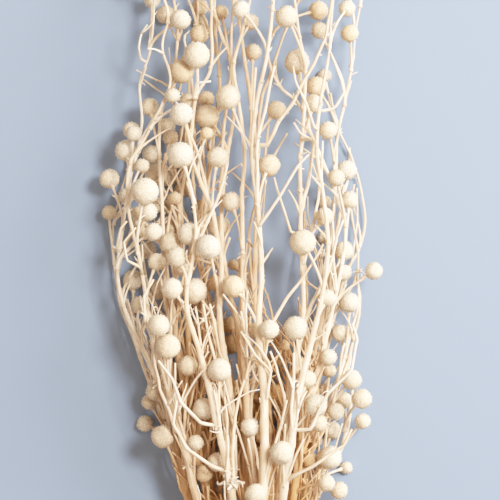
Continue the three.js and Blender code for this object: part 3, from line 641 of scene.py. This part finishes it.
def straight_line(points, radii, step):
    """The line through the points in straight stretches, as thin twigs grow, with the radii along it."""
    distance = travelled(points)
    along = np.linspace(0, distance[-1], max(3, round(distance[-1] / step)))
    line = np.stack([np.interp(along, distance, points[:, k]) for k in range(3)], axis=1)
    return line, np.interp(along, distance, radii)


def add_tube(mesh, line, radii, sides, ribs=0.0, flat=1.0, tint=0.0, cut=False, start=0.0):
    """A closed tube with ribs along it. Each point keeps its place on the grain, in mm, and a tint."""
    along, side, across = frames(line)
    angles = 2 * math.pi * np.arange(sides) / sides
    rib = 1 + np.array([draw(-ribs, ribs) for _ in range(sides)])
    rim = np.cos(angles)[:, None] * side[:, None] * flat + np.sin(angles)[:, None] * across[:, None]
    reach = (np.asarray(radii)[:, None] * rib[None])[:, :, None]
    verts = line[:, None] + rim * reach
    fibre = np.stack([
        np.cos(angles)[None] * reach[:, :, 0], np.sin(angles)[None] * reach[:, :, 0],
        np.repeat((travelled(line) + start)[:, None], sides, 1)], axis=2)
    tints = np.full(verts.shape[:2], tint)
    if cut:
        shares, marks = np.array(CUT_FACE).T
        verts = np.concatenate([line[0] + rim[0] * reach[0] * shares[:, None, None], verts])
        fibre = np.concatenate([np.repeat(fibre[:1], len(CUT_FACE), 0), fibre])
        tints = np.concatenate([np.repeat(marks[:, None], sides, 1), tints])
    rings = len(verts)
    corner = mesh["count"] + np.arange(rings - 1)[:, None] * sides + np.arange(sides)[None]
    ahead = mesh["count"] + np.arange(rings - 1)[:, None] * sides + (np.arange(sides)[None] + 1) % sides
    mesh["faces"] += np.stack([corner, ahead, ahead + sides, corner + sides], axis=2).reshape(-1, 4).tolist()
    mesh["faces"].append(list(range(mesh["count"] + sides - 1, mesh["count"] - 1, -1)))
    mesh["faces"].append(list(range(mesh["count"] + (rings - 1) * sides, mesh["count"] + rings * sides)))
    mesh["verts"].append(verts.reshape(-1, 3))
    mesh["fibre"].append(fibre.reshape(-1, 3))
    mesh["tint"].append(tints.ravel())
    mesh["count"] += rings * sides


def weathered(line, radii, kink):
    """Kinks the line at its nodes and swells it there. Returns the line, its radii and its nodes."""
    distance = travelled(line)
    nodes = [draw(*FIRST_NODE)]
    while nodes[-1] + NODE_SPACING[1] < distance[-1]:
        nodes.append(nodes[-1] + draw(*NODE_SPACING))
    stops = np.array([0, *nodes, distance[-1]])
    shift = np.array([cloud(3, kink) for _ in stops])
    shift[0] = shift[-1] = 0
    kinked = line + np.stack([np.interp(distance, stops, shift[:, k]) for k in range(3)], axis=1)
    swell = sum(draw(*SWELLING) * np.exp(-((distance - node) / SWELLING_LENGTH) ** 2) for node in nodes)
    swell = swell + cloud(len(line), ROUGH_BARK)
    return kinked, radii * (1 + swell), [int(np.argmin(abs(distance - node))) for node in nodes]


def add_spurs(mesh, line, radii, nodes):
    """Short spurs and broken stubs that lean up from the nodes."""
    along, side, across = frames(line)
    for node in nodes:
        if draw() > SPUR_CHANCE:
            continue
        angle = draw(0, 2 * math.pi)
        out = side[node] * math.cos(angle) + across[node] * math.sin(angle)
        way = unit(out + along[node] * draw(*SPUR_LEAN))
        length = draw(*SPUR_LENGTH)
        root = min(SPUR_RADIUS, 0.55 * radii[node] + 0.12)
        points = np.array([line[node], line[node] + way * length * 0.6,
                           line[node] + way * length + (along[node] - out) * draw(-0.3, 0.5)])
        points[:, 2] = np.maximum(points[:, 2], root)
        add_tube(mesh, points, [root, root * 0.62, root * draw(*SPUR_TIP)], 5, tint=draw(-0.2, 0.4))


def add_wood(mesh, line, radii, nodes, sides, ribs=RIBS, cut=False):
    """A length of wood with its own tint and grain, and its spurs."""
    add_tube(mesh, line, radii, sides, ribs=ribs, tint=draw(*TINTS), cut=cut, start=draw(*GRAIN_STARTS))
    add_spurs(mesh, line, radii, nodes)


def add_shoot(mesh, start, bend, end, root, tip, ball_radius):
    """A stalk, which widens where it meets its stem and under its ball, or a twig."""
    length = float(np.linalg.norm(end - start))
    line = bezier(start, bend, end, np.linspace(0, 1, max(5, round(length / STALK_STEP))))
    distance = np.linalg.norm(line - start, axis=1)
    radii = STALK_THICKNESS * (root + (tip - root) * distance / length)
    line, radii, nodes = weathered(line, radii, KINK)
    radii = radii + COLLAR * root * np.exp(-distance / COLLAR_LENGTH)
    if ball_radius:
        radii = radii + CUP * np.exp(-((length - distance - ball_radius * CUP_SEAT) / CUP_LENGTH) ** 2)
    add_wood(mesh, line, radii, nodes, sides=8)


def add_shred(mesh, root, way, length, width=1.0):
    """A flat shred of peeled fibre that curls off the wood and thins out."""
    steps = np.linspace(0, 1, 7)
    curl = draw(*SHRED_CURL) * steps
    side = unit(cloud(3))
    line = root + (way * (np.sin(curl) / 2)[:, None] + side * ((1 - np.cos(curl)) / 2)[:, None]
                   + unit(cloud(3)) * (0.3 * steps)[:, None]) * length * 0.5
    line[:, 2] = np.maximum(line[:, 2], SHRED_LOWEST)
    radii = SHRED_RADIUS * width * (1 - 0.7 * steps)
    add_tube(mesh, line, radii, 5, flat=SHRED_FLATNESS / width, tint=0.5)


def linear(colour):
    """A hex colour in the linear values that light adds up in."""
    parts = [int(colour[i:i + 2], 16) / 255 for i in (1, 3, 5)]
    return [*(p / 12.92 if p <= 0.04045 else ((p + 0.055) / 1.055) ** 2.4 for p in parts), 1.0]


def node(tree, kind, settings=(), inputs=(), links=(), stops=()):
    """Adds a shader node with its settings, input values, the sockets that feed it, and colour stops."""
    made = tree.nodes.new("ShaderNode" + kind)
    for key, value in dict(settings).items():
        setattr(made, key, value)
    for key, value in dict(inputs).items():
        made.inputs[key].default_value = value
    for key, socket in dict(links).items():
        tree.links.new(socket, made.inputs[key])
    for i, (position, colour) in enumerate(stops):
        stop = made.color_ramp.elements[i] if i < 2 else made.color_ramp.elements.new(position)
        stop.position, stop.color = position, linear(colour)
    return made.outputs[0] if kind != "Mix" else made.outputs[2]


def new_material(name, roughness):
    """A new material, its node tree and its shader."""
    made = bpy.data.materials.new(name)
    made.use_nodes = True
    shader = made.node_tree.nodes["Principled BSDF"]
    shader.inputs["Roughness"].default_value = roughness
    return made, made.node_tree, shader


# Painted tan shade deep in the bunch, in mm: the axis, where the shade begins and where it is full, and how
# much there is before
DEPTH_SHADE_SPANS = (("Z", 52, 18, 0.0), ("Y", 60, -30, 0.45), ("X", 52, 26, 0.0), ("Y", -160, -70, 0.2))
DEPTH_SHADE_COLOUR = "#dcae60"
MM = 0.001  # in m


def painted_depth_shade(tree, most):
    """How much tan shade is painted on a point that lies deep in the middle of the bunch."""
    seat = node(tree, "TexCoord").node.outputs["Object"]
    parts = node(tree, "SeparateXYZ", links={0: seat}).node.outputs
    aside = node(tree, "Math", {"operation": "ABSOLUTE"}, links={0: parts["X"]})
    painted_shade = None
    for axis, start, full, least in DEPTH_SHADE_SPANS:
        share = node(tree, "MapRange", {"interpolation_type": "SMOOTHSTEP"},
                     {"From Min": start * MM, "From Max": full * MM, "To Min": least},
                     {"Value": aside if axis == "X" else parts[axis]})
        so_far = {} if painted_shade is None else {0: painted_shade}
        painted_shade = node(tree, "Math", {"operation": "MULTIPLY"}, {0: most}, {1: share, **so_far})
    return painted_shade


MULTIPLY = {"data_type": "RGBA", "blend_type": "MULTIPLY"}

# Bleached wood is a pale matt cream, streaked along the grain, with tan shade painted on deep inside the
# bunch. Its streaks are as fine as its fibres, about 0.4 mm apart, and 14 times as long, with patches every 7
# mm.
STREAKS_PER_MM = 2.4
ALONG_GRAIN = 0.07
PATCHES_PER_MM = 0.14
BARK_RELIEF = 0.2
bleached_wood, tree, shader = new_material("bleached_dried_wood", 0.7)
grain_seat = node(tree, "Attribute", {"attribute_name": "fibre"}).node.outputs["Vector"]
grain = node(tree, "Mapping", inputs={"Scale": (1.0, 1.0, ALONG_GRAIN)}, links={"Vector": grain_seat})
streaks = node(tree, "TexNoise", inputs={"Scale": STREAKS_PER_MM, "Detail": 4.0, "Roughness": 0.6},
               links={"Vector": grain})
patches = node(tree, "TexNoise", inputs={"Scale": PATCHES_PER_MM, "Detail": 2.0},
               links={"Vector": grain_seat})
cream = node(tree, "ValToRGB", links={0: streaks},
             stops=[(0.3, "#d8c5ab"), (0.68, "#fbf4eb"), (0.48, "#f2e4cf")])
patch_colour = node(tree, "ValToRGB", links={0: patches}, stops=[(0.32, "#f5ebdd"), (0.6, "#ffffff")])
patchy = node(tree, "Mix", MULTIPLY, {0: 0.8}, {6: cream, 7: patch_colour})
tint = node(tree, "Attribute", {"attribute_name": "tint"}).node.outputs["Fac"]
tone = node(tree, "MapRange", inputs={"From Min": TINTS[1], "From Max": TINTS[0], "To Max": 0.8},
            links={"Value": tint})
toned = node(tree, "Mix", MULTIPLY, {7: linear("#f3e6d5")}, {0: tone, 6: patchy})
# Tan shade painted on the wood deep in the bunch
depth_shaded = node(tree, "Mix", MULTIPLY, {7: linear(DEPTH_SHADE_COLOUR)}, {0: painted_depth_shade(tree, 0.9), 6: toned})
cut_face = node(tree, "MapRange", inputs={"From Min": 0.6, "From Max": 2.0, "To Max": 0.75},
                links={"Value": tint})
wood_colour = node(tree, "Mix", MULTIPLY, {7: linear("#b98a55")}, {0: cut_face, 6: depth_shaded})
bark = node(tree, "Bump", inputs={"Strength": 0.5, "Distance": BARK_RELIEF * MM}, links={"Height": streaks})
tree.links.new(wood_colour, shader.inputs["Base Color"])
tree.links.new(bark, shader.inputs["Normal"])


def new_mesh(*marks):
    """A mesh to be filled, whose points bear these marks for its material."""
    return {"verts": [], "faces": [], "count": 0} | {mark: [] for mark in marks}


def finish_piece(name, mesh, finish, replaced):
    """Makes the piece from mm in the layout, and seats it in the frame."""
    verts = np.vstack(mesh["verts"])
    verts[:, 2] = np.maximum(verts[:, 2], LOWEST)
    verts = (verts - [*MIDDLE, 0]) * MM
    data = bpy.data.meshes.new(name)
    data.from_pydata(verts.tolist(), [], mesh["faces"], shade_flat=False)
    for key in ("fibre", "tint", "floret"):
        if key in mesh:
            values = np.concatenate(mesh[key]).astype(np.float32)
            kind, slot_name = ("FLOAT_VECTOR", "vector") if values.ndim == 2 else ("FLOAT", "value")
            data.attributes.new(key, kind, "POINT").data.foreach_set(slot_name, values.ravel())
    data.materials.append(finish)
    piece = bpy.data.objects.new(name, data)
    bpy.context.scene.collection.objects.link(piece)
    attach(piece, "root")
    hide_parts(replaced)


def tuft_root(spray, x, y):
    """The point of a stem's line that lies nearest to x and y."""
    line, _ = smooth_line(spray["line"], spray["radii"], STEM_STEP)
    return line[np.argmin(np.hypot(line[:, 0] - x, line[:, 1] - y))]


def tuft_bearer(tuft):
    """The number of the stem that passes nearest to a tuft, where an upper one counts as nearer."""
    roots = np.array([tuft_root(spray, *tuft[:2]) for spray in sprays])
    apart = np.hypot(roots[:, 0] - tuft[0], roots[:, 1] - tuft[1])
    return int(np.argmin(apart - UPPER_FIRST * roots[:, 2]))


for spray in sprays:
    wood = new_mesh("fibre", "tint")
    line, radii = smooth_line(spray["line"], spray["radii"], STEM_STEP)
    radii = radii * np.interp(line[:, 1], THICKNESS_Y, THICKNESS)
    radii = radii * np.interp(abs(line[:, 0]), ASIDE_X, ASIDE_THICKNESS)
    held = line[:, 1] < HELD_Y
    kinked, radii, nodes = weathered(line, radii, KINK)
    kinked[held] = line[held]
    spurred = [n for n in nodes if kinked[n][1] > BARE_Y]
    add_wood(wood, kinked, radii, spurred, sides=10, ribs=STEM_RIBS, cut=True)
    for stalk in spray["shoots"]:
        add_shoot(wood, *stalk)
    for points, radius in spray["branches"]:
        radii = np.linspace(radius, BRANCH_TAPER * radius, len(points))
        line, radii = straight_line(points, radii, BRANCH_RING_STEP)
        kinked, radii, nodes = weathered(line, radii, TWIG_KINK)
        add_wood(wood, kinked, radii, nodes, sides=6)
    for _ in range(SHREDS // len(sprays)):
        at, along, _ = spray["forks"][int(draw(0, len(spray["forks"])))]
        for _ in range(int(draw(*SHRED_BUNCH))):
            add_shred(wood, at, unit(along + cloud(3)), draw(*SHRED_LENGTH))
    for x, y, size in (tuft for tuft in TUFTS if tuft_bearer(tuft) == spray["number"]):
        root = tuft_root(spray, x, y)
        for _ in range(TUFT_SHREDS * size):
            way = unit(cloud(3) + [0, 0, TUFT_RISE])
            start = root + cloud(3, TUFT_SPREAD * size)
            add_shred(wood, start, way, draw(*TUFT_LENGTH) * size, width=1 + TUFT_WIDTH * size)
    finish_piece(spray["name"].replace("stem", "wood"), wood, bleached_wood, spray["name"])

# The balls
# Each ball is a dried seed head, a firm round ball covered all over with hundreds of tiny florets. It keeps
# a shallow dimple where the stalk enters. The florets are drawn a little larger than life, so that they show.
FLORET_PITCH = 1.1
FLORET_HEIGHT = 0.45
FLORET_SIZES = (0.35, 1.45)  # of its height
FLORET_SHIFT = 0.5  # of the pitch, off an even spread
SEAM_DEPTH = 0.75  # between two florets, as a share of the depth where three meet
HEAD_SIZES = (2.8, 3.4, 3.9, 4.3, 4.7, 5.1, 5.6, 6.2, 6.9)  # radii that the florets are laid out for
HEAD_CORE = 0.97  # these three are shares of the ball's radius
LUMP_HEIGHT = 0.013
DIMPLE_DEPTH = 0.14
DIMPLE_WIDTH = 0.035  # 1 less the cosine of its angle
LUMPS = 6
LUMP_PITCH = 6  # the higher, the closer the lumps


def lay_florets(radius):
    """Florets spread evenly but unruly over a ball, each tip ringed by the low points between florets."""
    count = int(4 * math.pi * radius ** 2 / FLORET_PITCH ** 2)
    height = 1 - (2 * np.arange(count) + 1) / count
    angle = np.arange(count) * math.pi * (3 - math.sqrt(5))
    out = np.sqrt(1 - height ** 2)
    spiral = np.stack([out * np.cos(angle), out * np.sin(angle), height], axis=1)
    tips = unit(spiral + cloud(count * 3, FLORET_SHIFT * FLORET_PITCH / radius).reshape(-1, 3))
    net = bmesh.new()
    for tip in tips:
        net.verts.new(tip)
    bmesh.ops.convex_hull(net, input=net.verts)
    net.verts.index_update()
    places = [tuple(v.co) for v in net.verts]
    low = [0.0] * len(places)
    seams, faces = {}, []
    for edge in net.edges:
        seams[edge] = len(places)
        places.append(tuple((edge.verts[0].co + edge.verts[1].co) / 2))
        low.append(SEAM_DEPTH)
    for face in net.faces:
        middle = len(places)
        places.append(tuple(face.calc_center_median()))
        low.append(1.0)
        for loop in face.loops:
            corner = loop.vert.index
            faces += [(corner, seams[loop.edge], middle), (corner, middle, seams[loop.link_loop_prev.edge])]
    net.free()
    return unit(np.array(places)), np.array(low), np.array(faces)


head_nets = {radius: lay_florets(radius) for radius in HEAD_SIZES}


def add_head(mesh, middle, radius, stalk_side):
    """A ball, turned at random, with its own lumps, floret heights and tone."""
    way, low, faces = head_nets[min(HEAD_SIZES, key=lambda size: abs(size - radius))]
    way = way @ np.linalg.qr(cloud(9).reshape(3, 3))[0]
    size = np.where(low == 0, np.array([draw(*FLORET_SIZES) for _ in low]), 1)
    waves = (np.cos(way @ cloud(3, LUMP_PITCH) + draw(0, 6)) for _ in range(LUMPS))
    lumps = sum(LUMP_HEIGHT * wave for wave in waves)
    dimple = DIMPLE_DEPTH * np.exp(-((1 - way @ stalk_side) / DIMPLE_WIDTH) ** 2)
    reach = radius * (HEAD_CORE + lumps - dimple) + FLORET_HEIGHT * np.where(low == 0, size, -low)
    points = middle + way * reach[:, None]
    mesh["verts"].append(points)
    mesh["faces"] += (faces + mesh["count"]).tolist()
    mesh["floret"].append(np.stack([1 - low, np.full(len(low), draw()), np.zeros(len(low))], axis=1))
    mesh["count"] += len(low)


# A dried head is matt and a little furry: near white on the florets' tips, with shade painted tan in the gaps
# between them, mottled from floret to floret, 1.25 mm apart, and gritty with the florets' parts, 0.4 mm
# apart.
MOTTLES_PER_MM = 0.8
GRIT_PER_MM = 2.6
FUZZ_RELIEF = 0.1
seed_head, tree, shader = new_material("dried_seed_head", 0.85)
floret = node(tree, "Attribute", {"attribute_name": "floret"}).node.outputs["Vector"]
parts = node(tree, "SeparateXYZ", links={0: floret}).node.outputs
# Painted shade: tan in the low gaps between the florets, near white on their tips
florets = node(tree, "ValToRGB", links={0: parts["X"]},
               stops=[(0.0, "#d8bd93"), (0.8, "#fcf4e5"), (0.4, "#f6ead6")])
tone = node(tree, "ValToRGB", links={0: parts["Y"]},
            stops=[(0.0, "#faeedc"), (1.0, "#faf3e9"), (0.15, "#fdf7ef"), (0.6, "#ffffff")])
each_head = node(tree, "Mix", MULTIPLY, {0: 1.0}, {6: florets, 7: tone})
# The same tan shade painted on the balls deep in the bunch
depth_shaded = node(tree, "Mix", MULTIPLY, {7: linear(DEPTH_SHADE_COLOUR)}, {0: painted_depth_shade(tree, 0.8), 6: each_head})
grit_seat = node(tree, "TexCoord").node.outputs["Object"]
mottle = node(tree, "TexNoise", inputs={"Scale": MOTTLES_PER_MM / MM, "Detail": 2.0},
              links={"Vector": grit_seat})
mottle_colour = node(tree, "ValToRGB", links={0: mottle}, stops=[(0.38, "#f0e6d6"), (0.55, "#ffffff")])
head_colour = node(tree, "Mix", MULTIPLY, {0: 0.8}, {6: depth_shaded, 7: mottle_colour})
grit = node(tree, "TexNoise", inputs={"Scale": GRIT_PER_MM / MM, "Detail": 2.0}, links={"Vector": grit_seat})
fuzz = node(tree, "Bump", inputs={"Strength": 0.35, "Distance": FUZZ_RELIEF * MM}, links={"Height": grit})
tree.links.new(head_colour, shader.inputs["Base Color"])
tree.links.new(fuzz, shader.inputs["Normal"])

for spray in sprays:
    balls = new_mesh("floret")
    for ball in spray["balls"]:
        add_head(balls, *ball)
    finish_piece(spray["name"].replace("stem", "balls"), balls, seed_head, spray["name"])

# The tie
# Jute twine of two twisted plies is wound four times round the bundle, knotted on top and cut short.
# Its loose fibres stand out, and its turns are pressed flat where they lie on the surface.
TURNS = 4
TURN_STEPS = 24  # points on each turn
TURN_GAP = 0.02  # of a turn, left open at either end
PLY_RADIUS = 0.56
PLY_OFFSET = 0.5
PLY_TWIST = 5.2  # mm of twine for one turn of its plies
TWINE_STEP = 0.7
FIBRE_SPACING = 3  # of the loose fibres along it
FIBRE_RUN = 2.5  # how far one may lean along the twine
FIBRE_REACH = (0.6, 1.6)
FIBRE_RADII = (0.07, 0.06, 0.03)
FRAYS = 14  # loose fibres at each cut end
FRAY_SPREAD = 0.5
FRAY_LENGTH = (1.8, 3.2)
FRAY_RADII = (0.16, 0.12, 0.05)
KNOT_WIDTH = 0.85
KNOT_LENGTH = 0.75
KNOT_HEIGHT = 0.9
KNOT_STEPS = 30
KNOT_GAP = 0.1  # left open between its ends
KNOT_SEAT = 0.2  # how far it is pulled down into the turns
TAIL = ((1, 0, 0.9), (5, 2, 1.6), (10, 5, 0.4), (13, 10, -2.5))  # out, along and up from the top of the turns


def add_twine(mesh, points, frayed):
    """Two plies twisted round the line through the points, with loose fibres along it."""
    line, _ = smooth_line(points, np.ones(len(points)), TWINE_STEP)
    along, side, across = frames(line)
    distance = travelled(line)
    for ply in range(2):
        phase = 2 * math.pi * distance / PLY_TWIST + ply * math.pi
        strand = line + PLY_OFFSET * (np.cos(phase)[:, None] * side + np.sin(phase)[:, None] * across)
        radii = PLY_RADIUS * (1 + 0.08 * np.sin(distance * 2.1 + ply))
        add_tube(mesh, strand, radii, 7, ribs=0.1, tint=draw(-0.3, 0.3), start=draw(0, 100))
    for _ in range(int(distance[-1] / FIBRE_SPACING)):
        at = int(draw(2, len(line) - 3))
        angle = draw(0, 2 * math.pi)
        out = math.cos(angle) * side[at] + math.sin(angle) * across[at]
        curl = along[at] * draw(-FIBRE_RUN, FIBRE_RUN)
        root = line[at] + out * 0.8
        fibre = [root, root + out * 0.7 + curl * 0.4, root + out * draw(*FIBRE_REACH) + curl]
        add_tube(mesh, np.array(fibre), FIBRE_RADII, 3)
    if frayed:
        at, way = line[-1], along[-1]
        for _ in range(FRAYS):
            spread = unit(way + cloud(3, FRAY_SPREAD))
            end = at + spread * draw(*FRAY_LENGTH) + cloud(3, FRAY_SPREAD)
            add_tube(mesh, np.array([at - way * 0.5, at + spread * 1.2, end]), FRAY_RADII, 4)


twine = new_mesh("fibre", "tint")
centre = np.array([0, TIE_Y, BUNDLE_Z])
turns = np.linspace(TURN_GAP, TURNS - TURN_GAP, TURN_STEPS * TURNS)
middle_radius = RING_RADIUS + TURN_THICKNESS / 2
wound = np.stack([
    middle_radius * np.sin(2 * math.pi * turns),
    (turns - TURNS / 2) * TURN_THICKNESS,
    middle_radius * np.cos(2 * math.pi * turns),
], axis=1)
add_twine(twine, centre + wound, frayed=False)
top = RING_RADIUS + TURN_THICKNESS - KNOT_SEAT
loop = np.linspace(KNOT_GAP, 2 * math.pi - KNOT_GAP, KNOT_STEPS)
knot = np.stack([
    (np.sin(loop) + 2 * np.sin(2 * loop)) * KNOT_WIDTH,
    (np.cos(loop) - 2 * np.cos(2 * loop)) * KNOT_LENGTH,
    top + KNOT_HEIGHT - KNOT_HEIGHT * np.sin(3 * loop),
], axis=1)
add_twine(twine, centre + knot, frayed=False)
for way in (-1, 1):
    tail = np.array([[way * out, way * along, top + up] for out, along, up in TAIL])
    add_twine(twine, centre + tail, frayed=True)

# Jute is a coarse golden-brown fibre, matt and uneven along each ply. Its fibres are drawn 0.2 mm apart,
# which is coarser than they are, so that they show.
JUTE_FIBRES_PER_MM = 5.0
ALONG_PLY = 0.15
JUTE_RELIEF = 0.2
jute, tree, shader = new_material("twisted_jute", 0.92)
jute_seat = node(tree, "Attribute", {"attribute_name": "fibre"}).node.outputs["Vector"]
jute_grain = node(tree, "Mapping", inputs={"Scale": (1.0, 1.0, ALONG_PLY)}, links={"Vector": jute_seat})
fibres = node(tree, "TexNoise", links={"Vector": jute_grain},
              inputs={"Scale": JUTE_FIBRES_PER_MM, "Detail": 5.0, "Roughness": 0.65})
brown = node(tree, "ValToRGB", links={0: fibres},
             stops=[(0.3, "#8a6236"), (0.7, "#dcbb88"), (0.5, "#b78d57")])
lay = node(tree, "Bump", inputs={"Strength": 0.7, "Distance": JUTE_RELIEF * MM}, links={"Height": fibres})
tree.links.new(brown, shader.inputs["Base Color"])
tree.links.new(lay, shader.inputs["Normal"])
finish_piece("wound_twine", twine, jute, "twine_tie")

# The surface, the light and the camera
# The bunch lies on a plain pale blue-grey surface and is seen from straight above, as in the photograph.
# A soft lamp stands high on the right, towards the tips, so that the shadows fall short and to the left,
# and a wide low one beside it rounds off the balls. The tones are flattened in the light, as a phone's are.
FLOOR_SIZE = 8.0  # these sizes are in m
SEEN_WIDTH = 0.25  # of the bunch across the picture
SEEN_HEIGHT = 0.03  # the middle height of the bunch
CAMERA_DISTANCE = 1.35
SENSOR = 36.0  # in mm
LAMP_DISTANCE = 1.7
LAMPS_FROM = (0, 0.05, 0)
LAMPS = {  # the way to each, its width and its power in W
    "soft_lamp": ((0.366, 0.211, 0.906), 0.4, 29),
    "window": ((0.81, 0.35, 0.47), 1.1, 36),
}
DAYLIGHT = ("#ffe7d2", 0.73)  # from all round: its colour and its strength
TONES = [  # linear light and the tone that it is shown in
    (0, 0), (0.24, 0.26), (0.5, 0.5), (0.8, 0.69), (1.2, 0.86), (1.7, 0.97), (2, 1.01)]

floor_mesh = bpy.data.meshes.new("surface")
half = FLOOR_SIZE / 2
corners = [(-half, -half, 0), (half, -half, 0), (half, half, 0), (-half, half, 0)]
floor_mesh.from_pydata(corners, [], [(0, 1, 2, 3)])
# Matt paint is even, with hardly any shine
painted, tree, shader = new_material("painted_surface", 0.6)
shader.inputs["Base Color"].default_value = linear("#899ab2")
floor_mesh.materials.append(painted)
floor = bpy.data.objects.new("surface", floor_mesh)
bpy.context.scene.collection.objects.link(floor)

world = bpy.data.worlds.new("daylight")
world.use_nodes = True
world.node_tree.nodes["Background"].inputs["Color"].default_value = linear(DAYLIGHT[0])
world.node_tree.nodes["Background"].inputs["Strength"].default_value = DAYLIGHT[1]
bpy.context.scene.world = world

view = bpy.context.scene.view_settings
view.view_transform = "Standard"
view.use_curve_mapping = True
view.curve_mapping.white_level = [TONES[-1][0]] * 3
curve = view.curve_mapping.curves[3]
for light, tone in TONES[1:-1]:
    curve.points.new(light / TONES[-1][0], tone)
curve.points[len(TONES) - 1].location = (1, TONES[-1][1])
view.curve_mapping.update()

for name, (way, width, power) in LAMPS.items():
    lamp_data = bpy.data.lights.new(name, "AREA")
    lamp_data.shape = "DISK"
    lamp_data.size = width
    lamp_data.energy = power
    lamp = bpy.data.objects.new(name, lamp_data)
    lamp.location = np.array(way) * LAMP_DISTANCE + LAMPS_FROM
    lamp.rotation_euler = Vector(way).to_track_quat("Z", "Y").to_euler()
    bpy.context.scene.collection.objects.link(lamp)

camera_data = bpy.data.cameras.new("camera")
camera_data.sensor_width = SENSOR
camera_data.lens = SENSOR * CAMERA_DISTANCE / SEEN_WIDTH
camera = bpy.data.objects.new("camera", camera_data)
camera.location = (-MIDDLE[0] * MM, -MIDDLE[1] * MM, SEEN_HEIGHT + CAMERA_DISTANCE)
bpy.context.scene.collection.objects.link(camera)
bpy.context.scene.camera = camera
